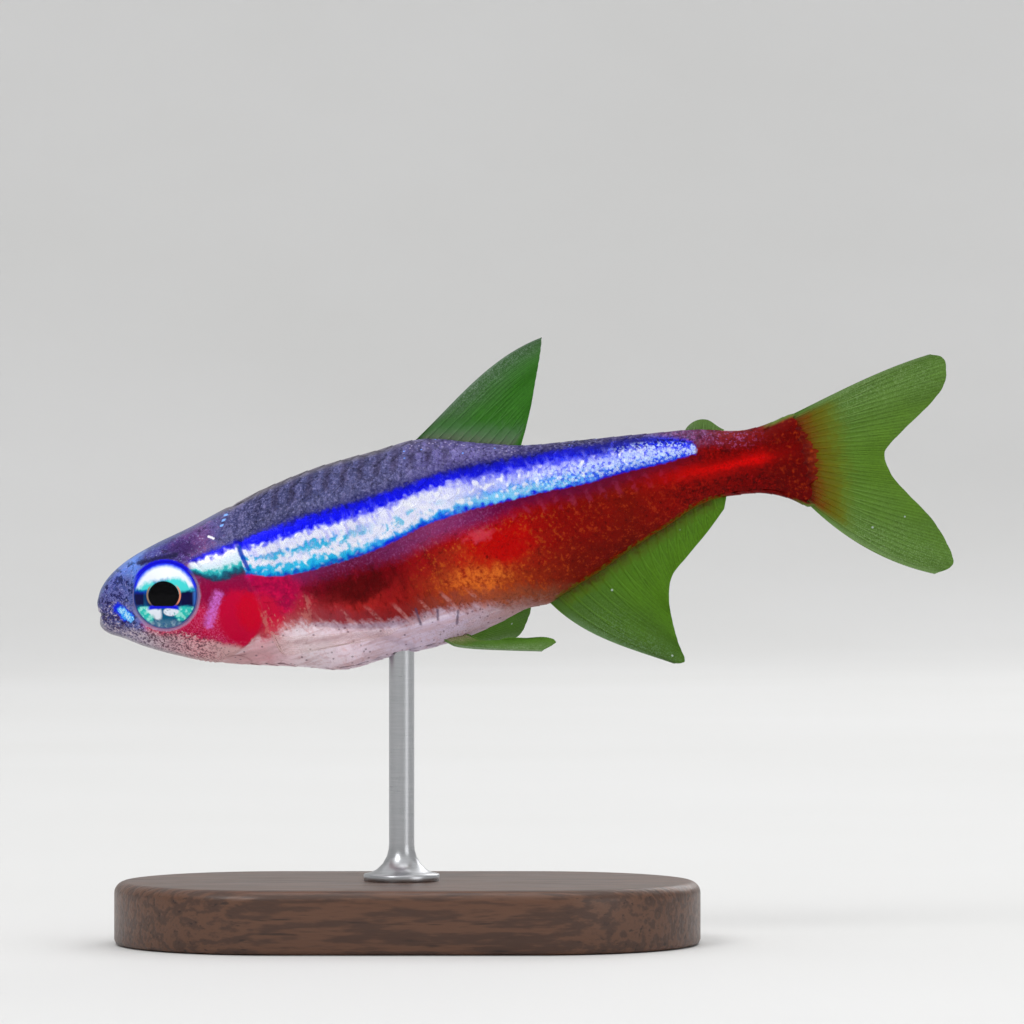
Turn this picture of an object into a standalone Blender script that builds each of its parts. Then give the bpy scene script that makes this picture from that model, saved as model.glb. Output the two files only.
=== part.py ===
"""A cardinal tetra, life size, held over a flat base by one rod.

All sizes are in millimetres and belong to the fish's own body frame: u runs back from the
snout along the body, v runs up and y runs to the fish's right. place() turns them into metres,
pitches the fish nose down and lifts it onto its stand. The fish looks along -X and shows its
left side to -Y.
"""

import math

import bmesh
import bpy
from mathutils import Vector

MM = 0.001
GAP = 0.3

# The pose: nose down, with the snout's place over the floor
PITCH = math.radians(12.0)
SNOUT_X = -21.85
SNOUT_Z = 17.25

# Where the flesh is parted, along the body
GILL_U = 8.2
TAIL_U = 33.3
HYPURAL_U = 36.6

# Body outline: u and the height of the back
BACK = (
    (0.0, 0.10), (0.1, 0.40), (0.3, 0.77), (1.0, 1.45), (2.0, 2.00), (3.5, 2.50), (5.5, 2.99),
    (7.5, 3.56), (10.0, 4.20), (12.5, 4.62), (15.5, 4.82), (18.0, 4.92), (20.9, 4.08), (23.0, 3.53),
    (26.0, 3.16), (29.0, 2.83), (32.0, 2.44), (34.2, 1.94), (35.4, 2.00), (36.6, 2.24),
)
# u and the height of the belly
BELLY = (
    (0.0, -1.02), (0.1, -1.30), (0.3, -1.50), (1.0, -1.90), (2.0, -2.56), (3.5, -3.33), (5.0, -3.98),
    (7.0, -4.54), (9.5, -5.18), (11.9, -5.82), (14.0, -5.66), (16.5, -5.62), (18.3, -5.45),
    (20.0, -5.08), (21.6, -4.66), (22.6, -4.66), (23.6, -4.30), (25.5, -3.60), (27.1, -2.90),
    (29.4, -2.03), (31.4, -1.28), (33.2, -1.24), (34.8, -1.52), (35.9, -2.06), (36.6, -2.60),
)
# u and half the body's width, which is greatest just behind the gill covers
HALF_WIDTH = (
    (0.0, 0.46), (0.1, 0.64), (0.3, 0.86), (1.0, 1.28), (2.0, 1.72), (3.5, 2.14), (5.5, 2.48),
    (8.2, 2.68), (11.0, 2.72), (14.5, 2.60), (18.5, 2.26), (23.0, 1.76), (28.0, 1.26), (32.0, 0.96),
    (34.5, 0.78), (36.6, 0.52),
)
# u and the height at which the body is widest
WIDEST_V = (
    (0.0, -0.46), (1.0, -0.25), (3.5, -0.25), (8.0, -0.10), (12.0, 0.10), (18.0, 0.35), (25.0, 0.25),
    (30.0, 0.45), (33.0, 0.50), (36.6, -0.05),
)
# u and how sharply the section closes at the back and at the belly: above 1 is narrower
BACK_SHARP = ((0.0, 0.90), (3.5, 0.92), (8.0, 1.00), (14.0, 1.12), (36.6, 1.05))
BELLY_SHARP = ((0.0, 0.90), (4.0, 0.95), (10.0, 0.95), (16.0, 1.00), (22.0, 1.12), (36.6, 1.05))

# Rear edge of the gill cover: height v and its place u
GILL_EDGE = (
    (-4.8, 5.1), (-4.2, 5.9), (-3.7, 6.9), (-3.0, 7.9), (-2.1, 8.30), (-1.3, 8.25), (0.0, 7.90),
    (1.8, 7.78), (3.8, 7.50),
)
GILL_SECTION_U = 7.5
COVER_LENGTH = 2.3
COVER_TAPER = 0.22
COVER_TOP = math.radians(60)
COVER_FOOT = math.radians(140)
COVER_RADIUS = 3.3
COVER_PROUD = 0.10
COVER_DEPTH = 0.55
# How far the recess's cutter stands out of the skin
RECESS_OVER = 1.0
COVER_ROWS = 8
COVER_COLUMNS = 6

EYE_U = 3.60
EYE_V = -0.19
EYE_RADIUS = 1.66
EYE_THICK = 1.75
EYE_PROUD = 0.38
EYE_RINGS = 14

# Mouth: a slit that slopes down and back from the middle of the snout
MOUTH_V = -0.44
MOUTH_LENGTH = 1.25
MOUTH_SLOPE = 0.70
MOUTH_OPEN = 0.17
LIP_PROUD = 0.10
LIP_REACH = 0.26
MOUTH_DENT = 0.12
CHIN_V = -0.98
CHIN_PROUD = 0.07

# Nostrils: u, v and radius
NOSTRILS = ((1.18, 0.62, 0.17), (1.62, 0.66, 0.22))
NOSTRIL_FACES = (10, 6)

# Fins: thickness of the membrane and how far each ray stands out of it on either face
FIN_THICK = 0.50
FIN_EDGE_THICK = 0.32
FIN_TAPER_FROM = 0.55
RAY_PROUD = 0.10
RAY_TAPER = 0.55
# A ray's ridge across the fin: offset in ray spacings and share of its full height
RIDGE = ((-0.24, 0.0), (0.0, 1.0), (0.24, 0.0))
ROW_CROWDING = 1.2
# Rays of each fin, and rows of faces from its root to its edge
DORSAL_RAYS, ANAL_RAYS, TAIL_LOBE_RAYS, PECTORAL_RAYS, PELVIC_RAYS = 11, 18, 10, 10, 8
FIN_ROWS = 5
LONG_FIN_ROWS = 6

DORSAL_ROOT = (18.1, 23.05)
DORSAL_EDGE = ((25.10, 8.74), (24.88, 8.05), (24.57, 7.25), (24.22, 6.40), (23.84, 5.45), (23.30, 4.30))
DORSAL_BOW = (0.26, 0.86)
ANAL_ROOT = (22.85, 32.52)
ANAL_EDGE = (
    (28.25, -9.02), (28.82, -8.98), (28.68, -8.00), (28.62, -6.90), (28.68, -5.70), (29.10, -4.58),
    (30.10, -3.74), (31.28, -2.80), (32.40, -1.80),
)
ANAL_BOW = (-0.72, -0.25)
FORK_V = -1.17
UPPER_TAIL_EDGE = (
    (44.35, 3.76), (45.02, 3.36), (44.80, 2.20), (43.88, 1.30), (42.26, 0.28), (41.14, -0.54),
    (40.98, FORK_V + GAP / 2),
)
UPPER_TAIL_BOW = (0.12, 0.32)
LOWER_TAIL_EDGE = (
    (42.25, -7.30), (43.24, -7.04), (43.24, -6.04), (42.72, -4.56), (41.80, -3.05), (41.20, -2.00),
    (40.98, FORK_V - GAP / 2),
)
LOWER_TAIL_BOW = (-0.62, -0.66)
TAIL_FLARE = 0.20
TAIL_ROOT_SPLIT = -0.06
ADIPOSE_ROOT = (31.40, 33.00)
ADIPOSE_HIGH = 0.24
ADIPOSE_LEAN = 0.12
ADIPOSE_COLUMNS = 8
ADIPOSE_ROWS = (0.0, 0.35, 0.7, 1.0)

# Paired fins: feet on the skin as (u, v), edges as (u, distance from the middle plane, v)
PECTORAL_FEET = ((8.62, -3.10), (8.80, -3.92))
PECTORAL_EDGE = (
    (14.95, 3.50, -4.24), (14.62, 3.36, -4.42), (13.92, 3.14, -4.52), (13.00, 2.92, -4.54),
    (12.05, 2.76, -4.48),
)
PECTORAL_LIFT = 0.85
PECTORAL_LEAN = 0.35
PELVIC_LEFT_FEET = ((17.30, -5.34), (18.50, -5.32))
PELVIC_RIGHT_FEET = ((17.30, -5.34), (18.60, -4.90))
PELVIC_LEFT_EDGE = (
    (21.75, 3.00, -6.88), (22.52, 2.75, -6.66), (22.30, 2.35, -6.34), (21.30, 1.90, -6.14),
    (20.20, 1.55, -5.97),
)
PELVIC_RIGHT_EDGE = (
    (20.50, 3.95, -6.16), (21.02, 3.80, -5.76), (21.45, 3.45, -5.22), (21.62, 2.95, -4.62),
    (21.20, 2.55, -4.20),
)
PELVIC_LIFT = 0.45
PELVIC_LEAN = 0.90
FOOT_CLEAR = 0.08
GUIDE_SHARE = 0.30

BASE_LENGTH = 30.0
BASE_WIDTH = 17.0
BASE_HEIGHT = 3.2
BASE_BEVEL = 0.6
BASE_X = -6.0
BASE_CORNER_STEPS = 10
ROD_RADIUS = 0.65
ROD_X = -6.3
ROD_SIDES = 20
# The rod's foot: radius and height over the base
ROD_FOOT = ((1.90, 0.0), (1.90, 0.35), (1.45, 0.58), (0.95, 0.90), (ROD_RADIUS, 1.35))

RING_POINTS = 36
HEAD_RINGS = (0.0, 0.1, 0.25, 0.45, 0.7, 1.0, 1.3, 1.65, 2.05, 2.5, 3.0, 3.5, 4.0, 4.5, 5.0, 5.5, 6.0,
              6.5, 7.0, 7.5, 8.2)
TRUNK_ROWS = 26
STALK_ROWS = 5


def smooth(knots, x):
    """Smooth curve through (x, value) knots."""
    xs = [knot[0] for knot in knots]
    ys = [knot[1] for knot in knots]
    last = len(xs) - 1
    at = min(max(x, xs[0]), xs[-1])
    i = max(j for j in range(last) if xs[j] <= at)
    steps = [(ys[j + 1] - ys[j]) / (xs[j + 1] - xs[j]) for j in range(last)]

    def slope(j):
        if j in (0, last):
            return steps[min(j, last - 1)]
        back, ahead = xs[j] - xs[j - 1], xs[j + 1] - xs[j]
        return (steps[j - 1] * ahead + steps[j] * back) / (back + ahead)

    span = xs[i + 1] - xs[i]
    t = (at - xs[i]) / span
    return (
        (2 * t**3 - 3 * t**2 + 1) * ys[i] + (t**3 - 2 * t**2 + t) * span * slope(i)
        + (3 * t**2 - 2 * t**3) * ys[i + 1] + (t**3 - t**2) * span * slope(i + 1)
    )


def blunt(knots, u):
    """smooth() drawn against the root of u, so that the snout ends round."""
    return smooth([(math.sqrt(knot[0]), knot[1]) for knot in knots], math.sqrt(max(u, 0.0)))


def path(points, t):
    """Point at t from 0 to 1 on a smooth curve through evenly counted points."""
    last = len(points) - 1
    at = min(max(t, 0.0), 1.0) * last
    i = min(int(at), last - 1)
    f = at - i
    a, b = points[max(i - 1, 0)], points[i]
    c, d = points[i + 1], points[min(i + 2, last)]
    return tuple(
        0.5 * (2 * q + (r - p) * f + (2 * p - 5 * q + 4 * r - s) * f**2 + (3 * q - p - 3 * r + s) * f**3)
        for p, q, r, s in zip(a, b, c, d)
    )


def bezier(guide, t):
    start, first, second, end = guide
    s = 1 - t
    return start * s**3 + first * 3 * s * s * t + second * 3 * s * t * t + end * t**3


def between(ends, t):
    return ends[0] + (ends[1] - ends[0]) * t


def fade(x, start, end):
    """1 before start, 0 after end, smooth between."""
    t = min(max((x - start) / (end - start), 0.0), 1.0)
    return 1 - t * t * (3 - 2 * t)


def angles(count):
    return [math.tau * i / count for i in range(count)]


def mouth_height(u):
    return MOUTH_V - MOUTH_SLOPE * u


def nose_shift(v):
    """How far the snout's end falls back at the mouth and stands forward at the chin."""
    dent = MOUTH_DENT * math.exp(-(((v - MOUTH_V) / LIP_REACH) ** 2))
    return dent - CHIN_PROUD * math.exp(-(((v - CHIN_V) / LIP_REACH) ** 2))


def skin_point(u, angle):
    """Point (u, y, v) of the body's surface. Angle 0 is the back, a quarter turn the left side."""
    top, bottom, widest = blunt(BACK, u), blunt(BELLY, u), blunt(WIDEST_V, u)
    up = math.cos(angle)
    across = math.sin(angle)
    sharp = blunt(BACK_SHARP, u) if up > 0 else blunt(BELLY_SHARP, u)
    y = -blunt(HALF_WIDTH, u) * math.copysign(abs(across) ** sharp, across)
    v = widest + up * ((top - widest) if up > 0 else (widest - bottom))
    lip = LIP_PROUD * math.exp(-(((v - mouth_height(u)) / LIP_REACH) ** 2)) * fade(u, 0.5, MOUTH_LENGTH)
    return Vector((u + nose_shift(v) * fade(u, 0.0, 0.5), y * (1 + lip * 0.8), v))


def skin_normal(u, angle):
    """The way out of the body's surface."""
    step = 0.02
    along = skin_point(u + step, angle) - skin_point(u - step, angle)
    around = skin_point(u, angle + step) - skin_point(u, angle - step)
    normal = along.cross(around).normalized()
    middle = Vector((u, 0, blunt(WIDEST_V, u)))
    return normal if normal.dot(skin_point(u, angle) - middle) > 0 else -normal


def side_angle(u, v, side):
    """Angle of the skin at u and height v, on the left (-1) or the right (1) side."""
    low, high = 0.0, math.pi
    for _ in range(30):
        middle = (low + high) / 2
        if skin_point(u, middle).z > v:
            low = middle
        else:
            high = middle
    return -side * low


def gill_edge(angle):
    return smooth(GILL_EDGE, skin_point(GILL_SECTION_U, angle).z)


def place(point):
    """Body frame in millimetres to the row frame in metres."""
    u, y, v = point
    x = SNOUT_X + u * math.cos(PITCH) - v * math.sin(PITCH)
    z = SNOUT_Z + u * math.sin(PITCH) + v * math.cos(PITCH)
    return Vector((x, y, z)) * MM


def material(name, colour, roughness, metallic=0.0):
    made = bpy.data.materials.new(name)
    made.use_nodes = True
    shader = made.node_tree.nodes["Principled BSDF"]
    shader.inputs["Base Color"].default_value = (*colour, 1.0)
    shader.inputs["Roughness"].default_value = roughness
    shader.inputs["Metallic"].default_value = metallic
    return made


def solid(name, points, faces, finish, smooth_under=50.0):
    """A named object from row-frame points in metres, with its faces turned outwards."""
    mesh = bpy.data.meshes.new(name)
    mesh.from_pydata([tuple(p) for p in points], [], faces)
    work = bmesh.new()
    work.from_mesh(mesh)
    bmesh.ops.recalc_face_normals(work, faces=work.faces)
    work.to_mesh(mesh)
    work.free()
    mesh.shade_smooth()
    mesh.set_sharp_from_angle(angle=math.radians(smooth_under))
    made = bpy.data.objects.new(name, mesh)
    made.data.materials.append(finish)
    bpy.context.scene.collection.objects.link(made)
    return made


def joined_rings(rings, count):
    """Faces between rings of count points each, numbered one ring after the other."""
    faces = []
    for r in range(rings - 1):
        for i in range(count):
            j = (i + 1) % count
            faces.append((r * count + i, r * count + j, (r + 1) * count + j, (r + 1) * count + i))
    return faces


def loft(name, rings, finish, nose=None, rear=None):
    """A closed solid through rings of body-frame points, each end closed round a middle point."""
    count = len(rings[0])
    points = [p for ring in rings for p in ring]
    faces = joined_rings(len(rings), count)
    for ring_at, tip in ((0, nose), (len(rings) - 1, rear)):
        middle = tip or sum(rings[ring_at], Vector()) / count
        points.append(middle)
        for i in range(count):
            faces.append((ring_at * count + i, ring_at * count + (i + 1) % count, len(points) - 1))
    return solid(name, [place(p) for p in points], faces, finish)


def sheet_solid(name, rows, thick, finish):
    """A closed sheet: rows of middle points and the thickness at each. Both faces split alike."""
    wide, long = len(rows), len(rows[0])

    def at(i, j):
        return rows[min(max(i, 0), wide - 1)][min(max(j, 0), long - 1)]

    def index(side, i, j):
        return side * wide * long + i * long + j

    points = []
    for side in (0.5, -0.5):
        for i in range(wide):
            for j in range(long):
                across = at(i + 1, j) - at(i - 1, j)
                along = at(i, j + 1) - at(i, j - 1)
                points.append(at(i, j) + across.cross(along).normalized() * thick[i][j] * side)
    faces = []
    for side in (0, 1):
        for i in range(wide - 1):
            for j in range(long - 1):
                a, b = index(side, i, j), index(side, i + 1, j)
                c, d = index(side, i + 1, j + 1), index(side, i, j + 1)
                faces += [(a, b, c), (a, c, d)]
    rim = [(i, 0) for i in range(wide)] + [(wide - 1, j) for j in range(1, long)]
    rim += [(i, long - 1) for i in range(wide - 2, -1, -1)] + [(0, j) for j in range(long - 2, 0, -1)]
    for k in range(len(rim)):
        here, ahead = rim[k], rim[(k + 1) % len(rim)]
        faces += [
            (index(0, *here), index(0, *ahead), index(1, *ahead)),
            (index(0, *here), index(1, *ahead), index(1, *here)),
        ]
    return solid(name, [place(p) for p in points], faces, finish)


def largest_piece(made):
    """Keeps only the largest closed surface of a mesh object."""
    work = bmesh.new()
    work.from_mesh(made.data)
    left, pieces = set(work.verts), []
    while left:
        piece, queue = set(), [left.pop()]
        while queue:
            vertex = queue.pop()
            piece.add(vertex)
            for edge in vertex.link_edges:
                other = edge.other_vert(vertex)
                if other in left:
                    left.discard(other)
                    queue.append(other)
        pieces.append(piece)
    pieces.sort(key=len)
    for piece in pieces[:-1]:
        bmesh.ops.delete(work, geom=list(piece), context="VERTS")
    work.to_mesh(made.data)
    work.free()


def cut(made, cutters):
    """Takes the cutters out of an object, with one Boolean on a collection of them."""
    group = bpy.data.collections.new(made.name + "_cutters")
    for cutter in cutters:
        group.objects.link(cutter)
        bpy.context.scene.collection.objects.unlink(cutter)
    bpy.context.scene.collection.children.link(group)
    boolean = made.modifiers.new("cut", "BOOLEAN")
    boolean.operation = "DIFFERENCE"
    boolean.operand_type = "COLLECTION"
    boolean.collection = group
    boolean.solver = "EXACT"
    graph = bpy.context.evaluated_depsgraph_get()
    whole = bpy.data.meshes.new_from_object(made.evaluated_get(graph))
    made.modifiers.clear()
    made.data = whole
    for cutter in cutters:
        bpy.data.objects.remove(cutter)
    bpy.data.collections.remove(group)
    largest_piece(made)


def ball(name, centre, radii, finish, segments=24, rings=12):
    """An ellipsoid in the body frame whose poles lie across the body, along y."""
    points = []
    for r in range(1, rings):
        down = math.pi * r / rings
        for a in angles(segments):
            points.append(Vector((
                centre[0] + radii[0] * math.sin(down) * math.cos(a),
                centre[1] - radii[1] * math.cos(down),
                centre[2] + radii[2] * math.sin(down) * math.sin(a),
            )))
    faces = joined_rings(rings - 1, segments)
    for ring_at, pole in ((0, -1), (rings - 2, 1)):
        points.append(Vector((centre[0], centre[1] + pole * radii[1], centre[2])))
        for i in range(segments):
            j = (i + 1) % segments
            faces.append((ring_at * segments + i, ring_at * segments + j, len(points) - 1))
    return solid(name, [place(p) for p in points], faces, finish)


def eye_centre(side):
    surface = abs(skin_point(EYE_U, math.pi / 2).y)
    return EYE_U, side * (surface + EYE_PROUD - EYE_THICK / 2), EYE_V


def cover_patch(side, name, finish, outer, inner, grow=0.0, behind=0.0):
    """A slab round the gill cover's place, from outer over the skin to inner under it. Its sides
    are grown by grow, and its rear edge by behind."""
    middle = (COVER_TOP + COVER_FOOT) / 2
    reach = (COVER_FOOT - COVER_TOP) / 2
    slab, thick = [], []
    for i in range(COVER_ROWS + 1):
        turn = (2 * i / COVER_ROWS - 1) * (reach + grow / COVER_RADIUS)
        angle = (middle + turn) * -side
        rear = gill_edge(angle) + behind
        front = gill_edge(angle) - COVER_LENGTH * (1 - COVER_TAPER * (turn / reach) ** 2) - grow
        line = []
        for j in range(COVER_COLUMNS + 1):
            u = front + (rear - front) * j / COVER_COLUMNS
            line.append(skin_point(u, angle) + skin_normal(u, angle) * (outer - inner) / 2)
        slab.append(line)
        thick.append([outer + inner] * (COVER_COLUMNS + 1))
    return sheet_solid(name, slab, thick, finish)


def mouth_wedge(finish):
    """The cutter of the mouth's line, which closes at its rear end."""
    front, rear, wide = -0.6, MOUTH_LENGTH, 3.0
    corners = (
        (front, mouth_height(front) + MOUTH_OPEN / 2), (front, mouth_height(front) - MOUTH_OPEN / 2),
        (rear, mouth_height(rear)),
    )
    points = [Vector((u, y, v)) for y in (-wide, wide) for u, v in corners]
    faces = [(0, 1, 2), (3, 5, 4), (0, 3, 4, 1), (1, 4, 5, 2), (2, 5, 3, 0)]
    return solid("mouth", [place(p) for p in points], faces, finish)


def head_cutters(finish):
    """Eye sockets, nostrils, the gill covers' recesses and the mouth."""
    cutters = [mouth_wedge(finish)]
    across = EYE_RADIUS + GAP
    for side in (-1, 1):
        cutters.append(ball("socket", eye_centre(side), (across, EYE_THICK / 2 + GAP, across), finish))
        for u, v, radius in NOSTRILS:
            spot = skin_point(u, side_angle(u, v, side))
            cutters.append(ball("nostril", spot, (radius, radius, radius), finish, *NOSTRIL_FACES))
        behind = GAP + RECESS_OVER
        cutters.append(cover_patch(side, "recess", finish, RECESS_OVER, COVER_DEPTH + GAP, GAP, behind))
    return cutters


def head(flesh):
    rings = []
    for station in HEAD_RINGS:
        share = (station / GILL_U) ** 2
        rings.append([
            skin_point(station + (gill_edge(a) - GILL_U) * share, a) for a in angles(RING_POINTS)
        ])
    made = loft("head", rings, flesh, nose=Vector((MOUTH_DENT / 2, 0, MOUTH_V)), rear=Vector((GILL_U, 0, 0)))
    cut(made, head_cutters(flesh))


def trunk(flesh):
    start = GILL_U + GAP
    rings = []
    for r in range(TRUNK_ROWS + 1):
        done = r / TRUNK_ROWS
        station = start + (TAIL_U - start) * done
        follow = (1 - done) ** 5
        rings.append([skin_point(station + (gill_edge(a) - GILL_U) * follow, a) for a in angles(RING_POINTS)])
    loft("trunk", rings, flesh, nose=Vector((start, 0, 0)))


def tail_stalk(flesh):
    start = TAIL_U + GAP
    rings = [
        [skin_point(start + (HYPURAL_U - start) * r / STALK_ROWS, a) for a in angles(RING_POINTS)]
        for r in range(STALK_ROWS + 1)
    ]
    loft("tail_stalk", rings, flesh)


def ray_fin(name, finish, rays, lines, ray):
    """A fin whose rays are ridges of its membrane. ray(a) is the ray's curve, as its root, two
    guiding points and its tip, with a from 0 at the leading ray to 1 at the last."""
    rows, thick = [], []
    for i in range(rays):
        for offset, height in RIDGE:
            a = (i + offset) / (rays - 1)
            if not 0 <= a <= 1:
                continue
            guide = ray(a)
            line, depth = [], []
            for j in range(lines + 1):
                b = (j / lines) ** ROW_CROWDING
                membrane = between((FIN_EDGE_THICK, FIN_THICK), fade(b, FIN_TAPER_FROM, 1.0))
                line.append(bezier(guide, b))
                depth.append(membrane + 2 * RAY_PROUD * height * (1 - RAY_TAPER * b))
            rows.append(line)
            thick.append(depth)
    sheet_solid(name, rows, thick, finish)


def median_fin(name, finish, rays, lines, root, edge, bow):
    """A fin in the middle plane, from root(a) to its edge, both as (u, v). bow is how far the leading
    ray's two guiding points stand aside."""
    def ray(a):
        start = Vector((root(a)[0], 0.0, root(a)[1]))
        tip = path(edge, a)
        along = Vector((tip[0], 0.0, tip[1])) - start
        aside = Vector((-along.z, 0.0, along.x)).normalized() * (1 - a) ** 2
        first = start + along / 3 + aside * bow[0]
        return start, first, start + along * 2 / 3 + aside * bow[1], start + along

    ray_fin(name, finish, rays, lines, ray)


def median_fins(fin, tail_fin):
    def back_root(a):
        u = between(DORSAL_ROOT, a)
        return u, blunt(BACK, u) + GAP

    def belly_root(a):
        u = between(ANAL_ROOT, a)
        return u, blunt(BELLY, u) - GAP

    def upper_root(a):
        return HYPURAL_U + GAP, between((blunt(BACK, HYPURAL_U), TAIL_ROOT_SPLIT + GAP / 2), a)

    def lower_root(a):
        return HYPURAL_U + GAP, between((blunt(BELLY, HYPURAL_U) - TAIL_FLARE, TAIL_ROOT_SPLIT - GAP / 2), a)

    lobe = (TAIL_LOBE_RAYS, LONG_FIN_ROWS)
    median_fin("dorsal_fin", fin, DORSAL_RAYS, FIN_ROWS, back_root, DORSAL_EDGE, DORSAL_BOW)
    median_fin("anal_fin", fin, ANAL_RAYS, FIN_ROWS, belly_root, ANAL_EDGE, ANAL_BOW)
    median_fin("caudal_fin_upper", tail_fin, *lobe, upper_root, UPPER_TAIL_EDGE, UPPER_TAIL_BOW)
    median_fin("caudal_fin_lower", tail_fin, *lobe, lower_root, LOWER_TAIL_EDGE, LOWER_TAIL_BOW)
    adipose_fin(fin)


def adipose_fin(fin):
    """The small rayless flap between the dorsal fin and the tail."""
    rows, thick = [], []
    for i in range(ADIPOSE_COLUMNS + 1):
        a = i / ADIPOSE_COLUMNS
        u = between(ADIPOSE_ROOT, a)
        foot = Vector((u, 0.0, blunt(BACK, u) + GAP))
        rise = ADIPOSE_HIGH * (0.15 + 0.85 * math.sin(math.pi * (0.08 + 0.84 * a)) ** 0.6)
        rows.append([foot + Vector((ADIPOSE_LEAN, 0.0, rise)) * b for b in ADIPOSE_ROWS])
        thick.append([between((FIN_THICK, FIN_EDGE_THICK), b) for b in ADIPOSE_ROWS])
    sheet_solid("adipose_fin", rows, thick, fin)


def paired_fin(name, finish, rays, lines, side, feet, edge, lift, lean):
    """A fin that leaves the skin square to it, on the left (-1) or right (1), and bends back."""
    def ray(a):
        u = between((feet[0][0], feet[1][0]), a)
        angle = side_angle(u, between((feet[0][1], feet[1][1]), a), side)
        outward = skin_normal(u, angle)
        start = skin_point(u, angle) + outward * (GAP + FOOT_CLEAR)
        first = start + (outward + Vector((lean, 0.0, 0.0))).normalized() * lift
        tip_u, off, tip_v = path(edge, a)
        tip = Vector((tip_u, side * off, tip_v))
        return start, first, first.lerp(tip, GUIDE_SHARE), tip

    ray_fin(name, finish, rays, lines, ray)


def paired_fins(fin):
    for side, name in ((-1, "pectoral_fin_left"), (1, "pectoral_fin_right")):
        paired_fin(
            name, fin, PECTORAL_RAYS, LONG_FIN_ROWS, side, PECTORAL_FEET, PECTORAL_EDGE, PECTORAL_LIFT,
            PECTORAL_LEAN,
        )
    for side, name, feet, edge in (
        (-1, "pelvic_fin_left", PELVIC_LEFT_FEET, PELVIC_LEFT_EDGE),
        (1, "pelvic_fin_right", PELVIC_RIGHT_FEET, PELVIC_RIGHT_EDGE),
    ):
        paired_fin(name, fin, PELVIC_RAYS, LONG_FIN_ROWS, side, feet, edge, PELVIC_LIFT, PELVIC_LEAN)


def belly_height(x):
    """Height of the belly's line over the floor at x, in millimetres."""
    low, high = 0.0, HYPURAL_U
    for _ in range(40):
        middle = (low + high) / 2
        if place((middle, 0, blunt(BELLY, middle))).x < x * MM:
            low = middle
        else:
            high = middle
    return place((low, 0, blunt(BELLY, low))).z / MM


def stand_base(wood):
    """A flat base with half-round ends and a softened top edge."""
    work = bmesh.new()
    radius = BASE_WIDTH / 2
    outline = []
    for end in (1, -1):
        for k in range(2 * BASE_CORNER_STEPS + 1):
            turn = math.pi * (k / (2 * BASE_CORNER_STEPS) - 0.5)
            x = BASE_X + end * (BASE_LENGTH / 2 - radius + radius * math.cos(turn))
            outline.append(work.verts.new((x * MM, end * radius * math.sin(turn) * MM, 0)))
    bottom = work.faces.new(outline)
    raised = bmesh.ops.extrude_face_region(work, geom=[bottom])
    top = [v for v in raised["geom"] if isinstance(v, bmesh.types.BMVert)]
    bmesh.ops.translate(work, verts=top, vec=(0, 0, BASE_HEIGHT * MM))
    rim = [e for e in work.edges if all(v in top for v in e.verts)]
    bmesh.ops.bevel(work, geom=rim, offset=BASE_BEVEL * MM, segments=2, profile=0.5, affect="EDGES")
    bmesh.ops.recalc_face_normals(work, faces=work.faces)
    mesh = bpy.data.meshes.new("stand_base")
    work.to_mesh(mesh)
    work.free()
    mesh.shade_smooth()
    mesh.set_sharp_from_angle(angle=math.radians(40))
    mesh.materials.append(wood)
    bpy.context.scene.collection.objects.link(bpy.data.objects.new("stand_base", mesh))


def stand_rod(metal):
    """The rod on its round foot. Its top follows the belly, just under it."""
    floor = BASE_HEIGHT + GAP
    points = []
    for radius, rise in ROD_FOOT:
        for a in angles(ROD_SIDES):
            points.append(Vector((ROD_X + radius * math.cos(a), radius * math.sin(a), floor + rise)) * MM)
    for a in angles(ROD_SIDES):
        x = ROD_X + ROD_RADIUS * math.cos(a)
        points.append(Vector((x, ROD_RADIUS * math.sin(a), belly_height(x) - GAP)) * MM)
    faces = joined_rings(len(ROD_FOOT) + 1, ROD_SIDES)
    faces.append(tuple(range(ROD_SIDES)))
    faces.append(tuple(range(len(points) - ROD_SIDES, len(points))))
    solid("stand_rod", points, faces, metal, 30)


def main():
    for old in list(bpy.data.objects):
        bpy.data.objects.remove(old)
    head_skin = material("head_skin", (0.22, 0.15, 0.20), 0.35)
    body_skin = material("body_skin", (0.42, 0.03, 0.04), 0.35)
    fin = material("fin", (0.10, 0.24, 0.04), 0.4)
    tail_fin = material("tail_fin", (0.14, 0.20, 0.04), 0.4)
    eye = material("eye", (0.03, 0.12, 0.20), 0.15)
    wood = material("stand_wood", (0.06, 0.03, 0.02), 0.45)
    metal = material("stand_metal", (0.55, 0.55, 0.56), 0.3, metallic=1.0)
    head(head_skin)
    for side, name in ((-1, "left"), (1, "right")):
        radii = (EYE_RADIUS, EYE_THICK / 2, EYE_RADIUS)
        ball("eye_" + name, eye_centre(side), radii, eye, rings=EYE_RINGS)
        cover_patch(side, "gill_cover_" + name, body_skin, COVER_PROUD, COVER_DEPTH)
    trunk(body_skin)
    tail_stalk(body_skin)
    median_fins(fin, tail_fin)
    paired_fins(fin)
    stand_base(wood)
    stand_rod(metal)


main()
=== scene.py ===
"""The looks of a cardinal tetra: skin, scales, eyes, fins and stand, in a plain pale studio.

Lengths are in millimetres in the fish's own body frame: u runs back from the snout, y to the
fish's right and v up. Points are numpy rows (u, y, v), and place() turns them into metres in the
row frame. Colours are screen values from 0 to 255, which rgb() turns into linear ones.
"""
import math

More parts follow.
